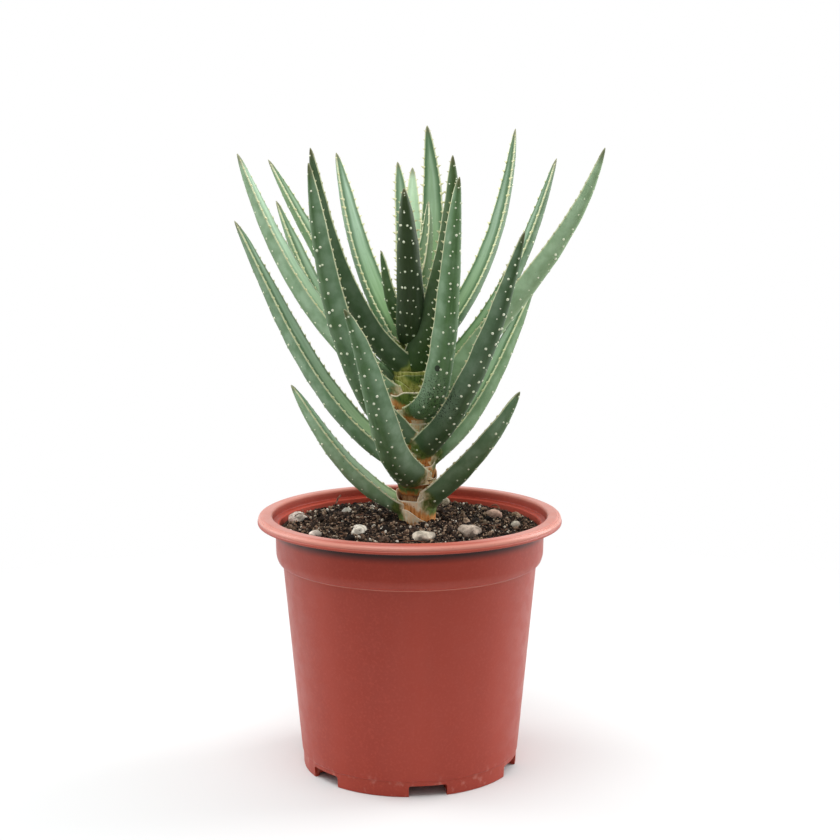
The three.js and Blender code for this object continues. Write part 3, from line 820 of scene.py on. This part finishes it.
def sleeveParts(number, first):  # the rest of the sheath, a thin sleeve round the stem below the next leaf
    row = leafRows[number - 1]
    line = LeafLine(row)
    facing = math.atan2(line.outward[1], line.outward[0])
    sides = leaf["sleeveSides"]
    turns = np.linspace(0, 2 * np.pi, sides + 1)[:-1]
    wavy = np.array([noise.noise(Vector((math.cos(a) * 2, math.sin(a) * 2, number * 3.1))) for a in turns])
    top = sheathTop(number, turns - facing) + 0.3 * wavy
    low = min(row[1] - leaf["sleeveDrop"] - 1.8, float(top.min()) - 2)
    _, green, shell, hidden = sheathRows.get(number, (0, 0, 0, 0))
    levels = [(0, 0.3), (0.12, 0.42), (0.3, 0.58), (0.5, 0.72), (0.68, 0.84), (0.82, 0.92),
              (0.92, 0.97), (0.97, 1.0), (1.0, 0.97), (1.0, 0.86), (0.85, 0.7), (0.5, 0.5), (0.0, 0.1)]
    rings, rim = [], []
    for k, (level, wall) in enumerate(levels):
        heights = low + (top - low) * level - (0.05 if k == 9 else 0)
        creases = np.array([noise.noise(Vector((math.cos(a) * 9, math.sin(a) * 9, level * 1.2 + number)))
                            for a in turns])
        wall = wall * (leaf["sleeveWall"] + leaf["sleeveFill"] * (stem["radius"] - stemRadiusAt(heights)))
        outward = stemRadiusAt(heights) + wall + shell * min(1, 3 * level)
        rings.append((heights, outward + (0.14 * creases if k < 8 else 0)))
        rim.append(float(level > 0.95))
    points = np.concatenate([np.stack([stemCentre(h) + r * np.cos(turns), r * np.sin(turns), h], 1)
                             for h, r in rings])
    faces = gridFaces(len(rings), sides, closedAcross=True, closedAlong=True, first=first)
    fields = {"rise": points[:, 2] - rimBelow(number, points) + hidden, "rimLine": np.repeat(rim, sides),
              "side": np.tile(np.cos(turns - facing - math.radians(green)), len(rings)),
              "fresh": np.full(len(points), float(number >= leaf["freshFrom"]))}
    return points, faces, fields


def guideLines(line, first):  # lines that the teeth and the warts are set out on
    points, edges, kinds, facings, sizes = [], [], [], [], []

    def strand(kind, t, s, lift, facing, size):
        width, edge, face, _ = depths(line, t)
        place = line.middle(t) + (width / 2 * s)[:, None] * line.across
        place = clasped(place + (edge + (face - edge) * lift)[:, None] * line.outer(t), line)
        start = first + len(points)
        edges.extend((start + i, start + i + 1) for i in range(len(t) - 1))
        points.extend(place)
        kinds.extend([kind] * len(t))
        facings.extend(facing)
        sizes.extend(size)

    t = np.linspace(leaf["toothFrom"], leaf["toothTo"], 90)
    clear = stemGap(line.middle(t)) > 3.5
    t = t[clear]
    for side in (-1.0, 1.0):
        facing = line.across * side * 0.9 + line.heading(t) * 0.42
        strand(1, t, np.full(len(t), side), np.zeros(len(t)), facing, 0.5 + 0.5 * softStep(1, 0.8, t))
    t = np.linspace(leaf["wartFrom"], leaf["wartTo"], 90)
    t = t[stemGap(line.middle(t)) > 2.5]
    for k, place in enumerate(leaf["wartRows"]):
        sway = np.array([noise.noise(Vector((x * 7, k * 5.7, line.width + line.knots[3][0]))) for x in t])
        s = np.clip(place + 0.18 * sway, -0.85, 0.85)
        keep = (t > t[0] + (0.0, 0.03, 0.012, 0.045)[k]) & (t < (1.0 if abs(place) < 0.4 else 0.9 - 0.03 * k))
        lift = np.sqrt(1 - s[keep] ** 2)
        strand(2, t[keep], s[keep], lift, line.outer(t[keep]), 0.6 + 0.4 * softStep(1, 0.75, t[keep]))
    return points, edges, kinds, facings, sizes


def makeSheathGroup():  # orange-brown where it comes out, then papery, and green by its blade
    tree, given, leave = newGroup("sheathTone", {"Vector": "Vector", "Rise": "Float", "Side": "Float",
                                                 "Fresh": "Float"}, ("Colour", "Color"))
    place, fresh = given["Vector"], given["Fresh"]
    streaks = mottle(drawnOut(place, 0.14), 900, 0.32, 0.68, 4)
    young = blend(streaks, paint(120, 144, 58), paint(188, 196, 112))
    paper = blend(fresh, blend(streaks, paint(255, 210, 156), paint(255, 242, 212)), young)
    ember = blend(fresh * 0.85, blend(streaks, paint(196, 118, 54), paint(238, 172, 104)), young)
    green = blend(streaks, paint(70, 94, 34), paint(112, 130, 60))
    nearBlade = between(given["Side"] + mottle(place, 260, 0.3, 0.7, 3) * 0.3, 0.5, 1.0)
    height = given["Rise"] + streaks * 1.2
    skin = blend(between(height, 2.8, 5.0), ember, blend(nearBlade, paper, green))
    skin = blend(between(height, 0.7, 0.1, 0.0, 0.6), skin, paint(74, 42, 20))
    give(blend(mottle(place, 1000, 0.66, 0.71, 3) * 0.75, skin, paint(50, 34, 20)), leave)
    return tree


sheathGroup = makeSheathGroup()


def sheathTone(place):
    return useGroup(sheathGroup, {"Vector": place, "Rise": readFloat(place.tree, "rise"),
                                  "Side": readFloat(place.tree, "side"),
                                  "Fresh": readFloat(place.tree, "fresh")})


def sooty(skin, place, colour):  # dark specks round the foot of the front leaf
    return blend(useGroup(sootGroup, {"Vector": place}) * 0.8, skin, colour)


def makeLeafSkin():
    material, shader, place = newMaterial("leafSkin", {
        "Specular IOR Level": 0.36, "Sheen Weight": 0.06, "Sheen Roughness": 0.45,
        "Sheen Tint": paint(214, 228, 220)})
    along, across, inner, edgeGap, root, shade, yellow, fromBase = (readFloat(place.tree, name) for name in (
        "along", "across", "inner", "edgeGap", "root", "shade", "yellow", "fromBase"))
    surface = addNode(place.tree, "ShaderNodeCombineXYZ", {0: across * 7.0, 1: fromBase * 0.12, 2: inner})
    wide = maths("ABSOLUTE", across)
    cloudy, streaky = mottle(place, 190, 0.3, 0.7, 4), mottle(surface, 0.55, 0.3, 0.72, 4)
    # outer face: deep green down the middle, paler to the sides with the chalky blue-green bloom and a
    # painted sheen on it
    green = blend(streaky, paint(62, 97, 50), paint(84, 121, 70))
    bloomAndSheen = blend(cloudy, paint(118, 152, 116), paint(146, 176, 144))
    outerFace = blend(between(wide, 0.4, 1.0, 0.06, 0.85) + cloudy * 0.2, green, bloomAndSheen)
    # inner face: pale, chalky above and yellower below
    innerFace = blend(between(along, 0.15, 0.75), paint(148, 184, 130), paint(172, 202, 176))
    innerFace = blend(streaky * 0.35, innerFace, paint(116, 156, 104))
    # each leaf has its own yellowness and shade, the shade being its tone with painted light and shade in it,
    # and the palest are chalky
    skin = blend(yellow * 0.55, blend(inner, outerFace, innerFace), paint(110, 146, 52))
    skin = blend(1.0, skin, shade, "MULTIPLY")
    skin = blend(between(shade, 1.0, 2.0, 0.0, 0.55), skin, paint(194, 212, 176))
    # painted shade inside the crown deepens the green towards the foot, which has the sheath's colours
    skin = blend(between(root, 16, 3) * between(inner, 0.0, 1.0, 0.38, 0.2), skin, paint(44, 70, 26))
    foot = fromBase + cloudy * 1.4 - wide * wide * 5.0
    skin = blend(between(foot, 5.4, 3.2), skin, sheathTone(place))
    # a darker strip beside the margin, the margin's pale line and the dull brown tip
    strip = (between(edgeGap, 3.0, 1.1) * between(inner, 0.0, 1.0, 0.15, 0.75)
             * between(shade, 1.0, 1.5, 1.0, 0.3))
    skin = blend(strip, skin, paint(48, 94, 42))
    line = maths("SUBTRACT", 1.0, edgeGap / between(root, 9, 1, 0.7, 1.35), True)
    pale = blend(between(root, 8, 2), paint(228, 234, 192), paint(252, 240, 212))
    skin = blend(between(line, 0.08, 0.6, 0.0, 0.92), skin, pale)
    skin = blend(between(along, 0.94, 0.99, 0.0, 0.7), skin, paint(96, 90, 54))
    # specks all over, and the scar on the front leaf
    skin = blend(mottle(place, 1500, 0.68, 0.76, 2) * 0.4, skin, paint(44, 62, 32))
    skin = sooty(skin, place, paint(18, 22, 12))
    scar = (between(farFrom(place, leaf["scarPlace"], (1, 0.05, 0.8)), 0.0013, 0.0009)
            * between(inner, 0.2, 0.0))
    skin = blend(scar * 0.85, skin, paint(24, 26, 18))
    feed(shader, skin, cloudy * 0.1 + 0.48, grain(place, 260, 2200, 0.6, 0.2, 0.0005))
    return material


def makeSleeveSkin():
    material, shader, place = newMaterial("sleeveSkin", {"Specular IOR Level": 0.3})
    fibre = drawnOut(place, 0.14)
    fresh = readFloat(place.tree, "fresh")
    rim = readFloat(place.tree, "rimLine") * between(fresh, 0, 1, 0.9, 0.1)
    skin = sooty(blend(rim, sheathTone(place), paint(248, 234, 208)), place, paint(18, 14, 10))
    rough = between(mottle(fibre, 800, 0.35, 0.68, 4), 0, 1, 0.5, 0.66)
    feed(shader, skin, rough, grain(fibre, 600, 2400, 0.7, 0.45, 0.0005))
    return material


def makeCream(name, light, dark):
    return makeMottled(name, 0.35, dark, [(900, 0.3, 0.7, 2, light)], (1300, 0.5, 0.62))


def growTree(piece, tree, values):
    step = piece.modifiers.new(tree.name, "NODES")
    step.node_group = tree
    for item in tree.interface.items_tree:
        if item.item_type == "SOCKET" and item.in_out == "INPUT" and item.name in values:
            step[item.identifier] = values[item.name]
    plainMesh(piece, step)


def randomFloat(low, high, seed):
    return addNode(seed.tree, "FunctionNodeRandomValue", {"Min": low, "Max": high, "Seed": seed}, "Value",
                   data_type="FLOAT")


def randomVector(low, high, seed):
    return addNode(seed.tree, "FunctionNodeRandomValue", {"Min": low, "Max": high, "Seed": seed}, "Value",
                   data_type="FLOAT_VECTOR")


def namedValue(tree, name, kind="FLOAT"):
    return addNode(tree, "GeometryNodeInputNamedAttribute", {"Name": name}, "Attribute", data_type=kind)


def finished(geometry, material):  # made real, with its material
    real = addNode(geometry.tree, "GeometryNodeRealizeInstances", {0: geometry})
    return addNode(geometry.tree, "GeometryNodeSetMaterial", {"Geometry": real, "Material": material})


def makeLeafTree():
    tree, given, leave = newGroup("teethAndWarts", {
        "Geometry": "Geometry", "Tooth Spacing": "Float", "Tooth Height": "Float", "Tooth Base": "Float",
        "Wart Spacing": "Float", "Wart Size": "Float", "Wart Jitter": "Float", "Seed": "Int",
        "Tooth Material": "Material", "Wart Material": "Material"},
        ("Geometry", "Geometry"), "GeometryNodeTree")
    kind, size = namedValue(tree, "guide", "INT"), namedValue(tree, "guideSize")
    seed = given["Seed"]

    def pick(number):  # 0 is the skin, 1 the lines of teeth and 2 those of warts
        same = addNode(tree, "FunctionNodeCompare", {"A": kind, "B": number},
                       data_type="INT", operation="EQUAL")
        return addNode(tree, "GeometryNodeSeparateGeometry",
                       {"Geometry": given["Geometry"], "Selection": same}, domain="POINT")

    def setOut(lines, spacing):
        curve = addNode(tree, "GeometryNodeMeshToCurve", {"Mesh": lines})
        return addNode(tree, "GeometryNodeResampleCurve", {"Curve": curve, "Length": spacing}, mode="LENGTH")

    skin = pick(0)
    # teeth: flattened cones that lean towards the tip
    cone = addNode(tree, "GeometryNodeMeshCone", {"Vertices": 8, "Side Segments": 3, "Radius Top": 0.00006,
                                                  "Radius Bottom": given["Tooth Base"],
                                                  "Depth": given["Tooth Height"]})
    sunk = addNode(tree, "ShaderNodeCombineXYZ", {2: given["Tooth Height"] * -0.3})
    tooth = addNode(tree, "GeometryNodeTransform",
                    {"Geometry": cone, "Translation": sunk, "Scale": (1.0, 0.55, 1.0)})
    turn = addNode(tree, "FunctionNodeAxesToRotation", {0: namedValue(tree, "facing", "FLOAT_VECTOR"),
                                                        1: addNode(tree, "GeometryNodeInputTangent")},
                   primary_axis="Z", secondary_axis="X")
    teeth = addNode(tree, "GeometryNodeInstanceOnPoints", {
        "Points": setOut(pick(1), given["Tooth Spacing"]), "Instance": tooth, "Rotation": turn,
        "Scale": size * randomFloat(0.7, 1.15, seed)})
    # warts: low domes, moved about a little and laid back on the skin
    ball = addNode(tree, "GeometryNodeMeshIcoSphere", {"Radius": given["Wart Size"], "Subdivisions": 2})
    dome = addNode(tree, "GeometryNodeTransform", {"Geometry": ball, "Scale": (1.0, 1.0, 0.62)})
    jitter = scaled(randomVector((-1, -1, -1), (1, 1, 1), seed + 11), given["Wart Jitter"])
    spots = addNode(tree, "GeometryNodeCurveToPoints", {"Curve": setOut(pick(2), given["Wart Spacing"])},
                    mode="EVALUATED")
    spots = addNode(tree, "GeometryNodeSetPosition", {"Geometry": spots, "Offset": jitter})
    onSkin = addNode(tree, "GeometryNodeProximity", {0: skin}, "Position", target_element="FACES")
    spots = addNode(tree, "GeometryNodeSetPosition", {"Geometry": spots, "Position": onSkin})
    normal = addNode(tree, "GeometryNodeInputNormal")
    nearest = addNode(tree, "GeometryNodeSampleNearestSurface", {"Mesh": skin, "Value": normal}, "Value",
                      data_type="FLOAT_VECTOR")
    upright = addNode(tree, "FunctionNodeAlignRotationToVector", {"Vector": nearest}, axis="Z")
    warts = addNode(tree, "GeometryNodeInstanceOnPoints", {
        "Points": spots, "Instance": dome, "Rotation": upright,
        "Scale": size * randomFloat(0.5, 1.25, seed + 5)})
    give(addNode(tree, "GeometryNodeJoinGeometry", {0: [
        finished(warts, given["Wart Material"]), finished(teeth, given["Tooth Material"]), skin]}), leave)
    return tree


def makeLeaves():
    skins = [makeLeafSkin(), makeSleeveSkin()]
    toothCream = makeCream("toothCream", paint(246, 244, 208), paint(220, 218, 160))
    wartCream = makeCream("wartCream", paint(246, 250, 226), paint(222, 232, 196))
    tree = makeLeafTree()
    for number, row in enumerate(leafRows, 1):
        line, points, faces, fields = bladeParts(number)
        bladeCount, bladeFaces = len(points), len(faces)
        points, ringFields = list(points), {}
        if row[1] <= stem["topSleeve"]:
            ringPoints, ringFaces, ringFields = sleeveParts(number, bladeCount)
            points += list(ringPoints)
            faces += ringFaces
        skinCount = len(points)
        guide, edges, kinds, facings, sizes = guideLines(line, skinCount)
        points += guide
        mesh = bpy.data.meshes.new(f"leaf{number:02d}")
        mesh.from_pydata((np.array(points) * mm).tolist(), edges, faces)
        for name, values in fields.items():
            sleeve = ringFields.get(name, np.zeros(skinCount - bladeCount))
            giveFloats(mesh, name, np.concatenate([values, sleeve, np.zeros(len(guide))]))
        giveFloats(mesh, "shade", np.full(len(points), row[5]))
        giveFloats(mesh, "yellow", np.full(len(points), row[6]))
        giveFloats(mesh, "guideSize", np.concatenate([np.ones(skinCount), sizes]))
        giveVectors(mesh, "facing", np.concatenate([np.zeros((skinCount, 3)), facings]))
        layer = mesh.attributes.new("guide", "INT", "POINT")
        layer.data.foreach_set("value", [0] * skinCount + kinds)
        piece = newPiece(f"quiverLeaf{number:02d}", mesh, skins)
        sheathFaces = len(mesh.polygons) - bladeFaces
        mesh.polygons.foreach_set("material_index", [0] * bladeFaces + [1] * sheathFaces)
        shadeSmooth(mesh)
        growTree(piece, tree, {**toothSettings, **wartSettings, "Seed": number * 31,
                               "Tooth Material": toothCream, "Wart Material": wartCream})
        settle(piece, "leaf", f"leaf_{number:02d}")
    print("leaves made:", len(leafRows))


makeLeaves()


# the soil, its crumbs and its stones

soil = {"level": 103.6, "mound": 3.4, "wallSide": 55.2, "rings": 150, "sectors": 400, "floorTop": 8.3,
        "stemClear": 8.2, "crumble": 1.1}

# place on the soil, size, colour
stoneRows = [
    ((-48.5, 9), (8.2, 7, 6.4), (224, 210, 196)),
    ((-20.8, -23), (7.6, 6.2, 5.4), (222, 214, 198)),
    ((6, -33), (9, 6.6, 5), (204, 192, 172)),
    ((25, -23.5), (9.5, 7.4, 6.2), (186, 168, 150)),
    ((36.5, 14), (8.4, 5.6, 5.4), (186, 150, 130)),
    ((45, -3), (7.4, 5, 4.4), (196, 184, 166)),
    ((-28, 21), (5.4, 4.6, 4.2), (218, 212, 200)),
    ((14, 38), (8, 6, 5), (170, 156, 132)),
    ((-14, 43), (6.4, 5.4, 4.6), (206, 196, 180)),
    ((-39, -24), (6.6, 5.2, 4.6), (228, 214, 200)),
]


def soilHeight(x, y):
    radius = math.hypot(x, y) / (pot["collar"] - pot["wall"])
    broad = 0.7 * math.sin(x * 0.31 + 1.3) * math.cos(y * 0.27)
    small = 0.5 * math.sin(x * 0.63 - y * 0.52)
    return soil["level"] + soil["mound"] * (1 - radius ** 2) + (broad + small) * min(1, 4 * (1 - radius))


def crumbled(x, y):  # the same surface with clods and grains
    height = soilHeight(x, y)
    edge = min(1, (soil["wallSide"] - math.hypot(x, y)) / 4)
    clods = noise.noise(Vector((x * 0.21, y * 0.21, 3.7))) * 1.1
    grains = noise.fractal(Vector((x * 0.8, y * 0.8, 9.1)), 0.7, 2.2, 4) * soil["crumble"]
    return height + (clods + grains) * max(edge, 0.15) - 0.35


def makeCrumbSkin(name, stops):
    material, shader, place = newMaterial(name, {"Specular IOR Level": 0.2})
    tone = readFloat(place.tree, "tone") + mottle(place, 1100, 0.3, 0.7, 3) * 0.22
    feed(shader, ramp(tone - 0.11, stops), between(tone, 0, 1, 0.92, 0.72),
         grain(place, 1200, 3600, 0.5, 0.6, 0.0004))
    return material


def makeSoilBody():
    rings, sectors = soil["rings"], soil["sectors"]
    radii = soil["wallSide"] * np.linspace(0, 1, rings + 1)[1:] ** 0.8
    turns = np.linspace(0, 2 * np.pi, sectors + 1)[:-1]
    points = []
    for r in radii[::-1]:
        for a in turns:
            x, y = r * math.cos(a), r * math.sin(a)
            points.append((x, y, crumbled(x, y)))
    side = [(soil["wallSide"], 98), (pot["shoulder"] - pot["wall"] - 0.4, pot["collarBottom"] - 1),
            (potWall(12) - pot["wall"] - 0.4, 12), (potWall(9) - pot["wall"] - 1.2, soil["floorTop"])]
    low = [(r * math.cos(a), r * math.sin(a), z) for r, z in reversed(side) for a in turns]
    points = low + points
    faces = gridFaces(len(points) // sectors, sectors, closedAcross=True)
    points += [(0, 0, soil["floorTop"]), (0, 0, crumbled(0, 0))]
    last = len(points) - 2 - sectors
    for j in range(sectors):
        k = (j + 1) % sectors
        faces.append((len(points) - 2, k, j))
        faces.append((len(points) - 1, last + j, last + k))
    mesh = newMesh("pottingSoil", points, faces)
    piece = newPiece("pottingSoil", mesh, [makeMottled(
        "peat", 0.18, paint(20, 15, 12), [(380, 0.35, 0.65, 5, paint(54, 41, 33)),
                                          (900, 0.55, 0.68, 4, paint(120, 98, 78))],
        (600, 0.8, 0.95), (700, 2400, 0.6, 0.8, 0.0008))])
    shadeSmooth(mesh)
    settle(piece, "soil", "soil")
    return piece


def groundFor(name, step, clear):  # an open patch of the surface that crumbs are scattered on, with its cover
    side = np.arange(-54, 54.01, step)
    points, cover = [], []
    for y in side:
        for x in side:
            r = math.hypot(x, y)
            points.append((x, y, crumbled(x, y)))
            fill = (float(softStep(54.0, 52.5, r))
                    * float(softStep(clear, clear + 1.5, math.hypot(x + 3.5, y))))
            for at, size, _ in stoneRows:
                fill *= float(softStep(0.36 * size[0], 0.5 * size[0], math.hypot(x - at[0], y - at[1])))
            cover.append(fill)
    mesh = newMesh(name, points, gridFaces(len(side), len(side)))
    giveFloats(mesh, "cover", cover)
    return newPiece(name, mesh)


def makeCrumbTree():
    tree, given, leave = newGroup("scatteredCrumbs", {
        "Geometry": "Geometry", "Density": "Float", "Size": "Float", "Smallest": "Float", "Longest": "Float",
        "Tilt": "Float", "Sink": "Float", "Roughness": "Float", "Grain Scale": "Float", "Facets": "Int",
        "Seed": "Int", "Material": "Material"}, ("Geometry", "Geometry"), "GeometryNodeTree")
    seed = given["Seed"]
    spots = addNode(tree, "GeometryNodeDistributePointsOnFaces", {
        "Mesh": given["Geometry"], "Density": namedValue(tree, "cover") * given["Density"], "Seed": seed},
        distribute_method="RANDOM")
    ball = addNode(tree, "GeometryNodeMeshIcoSphere", {"Radius": 1.0, "Subdivisions": given["Facets"]})
    widest = addNode(tree, "ShaderNodeCombineXYZ", {0: given["Tilt"], 1: given["Tilt"], 2: 6.283})
    share = maths("POWER", randomFloat(0.0, 1.0, seed + 2), 2.2)
    size = weigh(share, given["Smallest"], given["Size"])
    most = addNode(tree, "ShaderNodeCombineXYZ", {0: given["Longest"], 1: 1.0, 2: 0.85})
    pieces = addNode(tree, "GeometryNodeInstanceOnPoints", {
        "Points": spots, "Instance": ball, "Rotation": randomVector((0, 0, 0), widest, seed + 1),
        "Scale": scaled(randomVector((0.8, 0.55, 0.4), most, seed + 3), size)})
    pieces = addNode(tree, "GeometryNodeStoreNamedAttribute", {
        "Geometry": pieces, "Name": "tone", "Value": randomFloat(0.0, 1.0, seed + 4)},
        data_type="FLOAT", domain="INSTANCE")
    raised = addNode(tree, "ShaderNodeCombineXYZ", {2: size * given["Sink"]})
    pieces = addNode(tree, "GeometryNodeTranslateInstances", {"Instances": pieces, "Translation": raised,
                                                              "Local Space": False})
    solid = addNode(tree, "GeometryNodeRealizeInstances", {0: pieces})
    bumps = addNode(tree, "ShaderNodeTexNoise", {"Vector": addNode(tree, "GeometryNodeInputPosition"),
                                                 "Scale": given["Grain Scale"], "Detail": 2.0})
    push = scaled(addNode(tree, "GeometryNodeInputNormal"), (bumps - 0.5) * given["Roughness"])
    rough = addNode(tree, "GeometryNodeSetPosition", {"Geometry": solid, "Offset": push})
    give(addNode(tree, "GeometryNodeSetMaterial", {"Geometry": rough, "Material": given["Material"]}), leave)
    return tree


crumbKinds = {
    "peatCrumbs": {"Density": 900000.0, "Size": 1.0 * mm, "Smallest": 0.28 * mm, "Longest": 1.5,
                   "Tilt": 6.283, "Sink": 0.2, "Roughness": 0.6 * mm, "Grain Scale": 1500.0,
                   "Facets": 1, "Seed": 3, "Skin": "peatCrumb"},
    "barkBits": {"Density": 170000.0, "Size": 0.7 * mm, "Smallest": 0.22 * mm, "Longest": 3.2, "Tilt": 0.35,
                 "Sink": 0.8, "Roughness": 0.3 * mm, "Grain Scale": 1300.0, "Facets": 1, "Seed": 41,
                 "Skin": "barkBit"},
    "peatClods": {"Density": 14000.0, "Size": 2.9 * mm, "Smallest": 1.1 * mm, "Longest": 1.3, "Tilt": 6.283,
                  "Sink": -0.1, "Roughness": 2.2 * mm, "Grain Scale": 900.0, "Facets": 3, "Seed": 17,
                  "Skin": "peatCrumb"},
    "paleGrit": {"Density": 75000.0, "Size": 0.85 * mm, "Smallest": 0.22 * mm, "Longest": 1.4, "Tilt": 6.283,
                 "Sink": 0.8, "Roughness": 0.4 * mm, "Grain Scale": 900.0, "Facets": 2, "Seed": 29,
                 "Skin": "gritGrain"},
}
crumbColours = {  # from dark to light, with the share of crumbs up to each
    "peatCrumb": [(0.0, (16, 12, 10)), (0.4, (40, 30, 24)), (0.72, (76, 58, 46)), (0.9, (126, 102, 82)),
                  (1.0, (172, 146, 122))],
    "barkBit": [(0.0, (26, 18, 14)), (0.4, (66, 46, 34)), (0.75, (116, 86, 66)), (1.0, (184, 150, 124))],
    "gritGrain": [(0.0, (104, 84, 66)), (0.4, (150, 132, 112)), (0.75, (196, 184, 166)),
                  (1.0, (232, 226, 214))],
}


def makeCrumbs():
    tree = makeCrumbTree()
    skins = {name: makeCrumbSkin(name, stops) for name, stops in crumbColours.items()}
    for name, kind in crumbKinds.items():
        piece = groundFor(name, 0.9, soil["stemClear"])
        growTree(piece, tree, {**kind, "Material": skins[kind["Skin"]]})
        shadeSmooth(piece.data, 50)
        settle(piece, "soil")
        print(name, len(piece.data.polygons))


def makeStoneSkin(name, colour):
    light, dark = paint(*(min(255, c + 22) for c in colour)), paint(*(c * 0.76 for c in colour))
    layers = [(330, 0.35, 0.65, 4, light), (1500, 0.62, 0.72, 3, paint(70, 58, 48))]
    return makeMottled(name, 0.3, dark, layers, (500, 0.62, 0.85), (600, 2600, 0.6, 0.6, 0.0005))


def makeStones():
    for number, (_, size, colour) in enumerate(stoneRows, 1):
        body = bmesh.new()
        body.from_mesh(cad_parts[f"stone_{number:02d}"].data)
        bmesh.ops.remove_doubles(body, verts=body.verts, dist=0.00002)
        piece = joinBodies(f"gravel{number:02d}", [body])
        step = piece.modifiers.new("rounding", "SUBSURF")
        step.levels = step.render_levels = 3 if size[0] > 7.5 else 4
        mesh = plainMesh(piece, step)
        centre = sum((v.co for v in mesh.vertices), Vector()) / len(mesh.vertices)
        for v in mesh.vertices:
            swell = noise.fractal(v.co / mm * 0.35 + Vector((number, 0, 0)), 0.9, 2.2, 4) * 0.12
            v.co = centre + (v.co - centre) * (1.08 + swell)
        mesh.materials.clear()
        mesh.materials.append(makeStoneSkin(f"gravelSkin{number:02d}", colour))
        shadeSmooth(mesh, 40)
        settle(piece, "stone", f"stone_{number:02d}")


# loose rootlets and twigs, as the points that each runs through, and how thick each is
fibreRows = [
    (((-47, 14, 108.2), (-45.5, 9, 107.4), (-42, 6, 105.2)), 0.22),
    (((-50, 6, 106.8), (-46, 3, 108.4), (-41.5, 1, 105.4)), 0.18),
    (((-31.5, 44, 108.5), (-33, 41.5, 107.2), (-33.5, 38, 105.4)), 0.4),
    (((36, 30, 106.2), (38.5, 28, 107.2), (40, 25, 105.2)), 0.3),
    (((-6, -40, 105.4), (1, -42, 107.0), (9, -40, 105.6)), 0.16),
    (((14, -44, 105.0), (20, -42, 106.6), (28, -43, 105.0)), 0.2),
    (((-34, -36, 105.2), (-28, -38, 106.4), (-24, -41, 104.8)), 0.18),
    (((30, -12, 106.6), (34, -16, 107.8), (40, -17, 105.6)), 0.16),
    (((-24, 6, 106.4), (-20, 2, 108.4), (-14, 1, 107.0)), 0.18),
]


def tubeAlong(path, radius, sides):  # a closed tube whose ends are drawn to a point
    path = np.array(path)
    way = np.gradient(path, axis=0)
    way /= np.linalg.norm(way, axis=1, keepdims=True)
    side = np.cross(way, [0.13, 0.31, 0.94])
    side /= np.linalg.norm(side, axis=1, keepdims=True)
    other = np.cross(way, side)
    turns = np.linspace(0, 2 * np.pi, sides + 1)[:-1]
    share = np.linspace(0, 1, len(path))
    girth = radius * np.clip(np.minimum(share, 1 - share) * 12 + 0.15, 0, 1)
    rings = [path[i] + girth[i] * (np.outer(np.cos(turns), side[i]) + np.outer(np.sin(turns), other[i]))
             for i in range(len(path))]
    faces = gridFaces(len(path), sides, closedAcross=True)
    faces.append(tuple(reversed(range(sides))))
    faces.append(tuple(range((len(path) - 1) * sides, len(path) * sides)))
    return np.concatenate(rings), faces


def makeFibres():
    points, faces = [], []
    for number, ((a, b, c), radius) in enumerate(fibreRows):
        a, b, c = (np.array(p, float) for p in (a, b, c))
        share = np.linspace(0, 1, 16)[:, None]
        path = (1 - share) ** 2 * a + 2 * share * (1 - share) * (2 * b - (a + c) / 2) + share ** 2 * c
        wander = [[noise.noise(Vector(p) * 0.4 + Vector((number, 5.3 * k, 0))) for k in range(3)]
                  for p in path]
        path = path + 0.3 * np.array(wander)
        newPoints, newFaces = tubeAlong(path, radius, 7)
        faces += [tuple(i + len(points) for i in face) for face in newFaces]
        points += list(newPoints)
    skin = makeMottled("rootFibre", 0.3, paint(64, 38, 26), [(700, 0.35, 0.65, 3.0, paint(128, 82, 58))],
                       (900, 0.6, 0.8))
    piece = newPiece("rootFibres", newMesh("rootFibres", points, faces), [skin])
    shadeSmooth(piece.data)
    settle(piece, "soil")


makeSoilBody()
makeStones()
makeCrumbs()
makeFibres()
print("soil, crumbs and stones made")
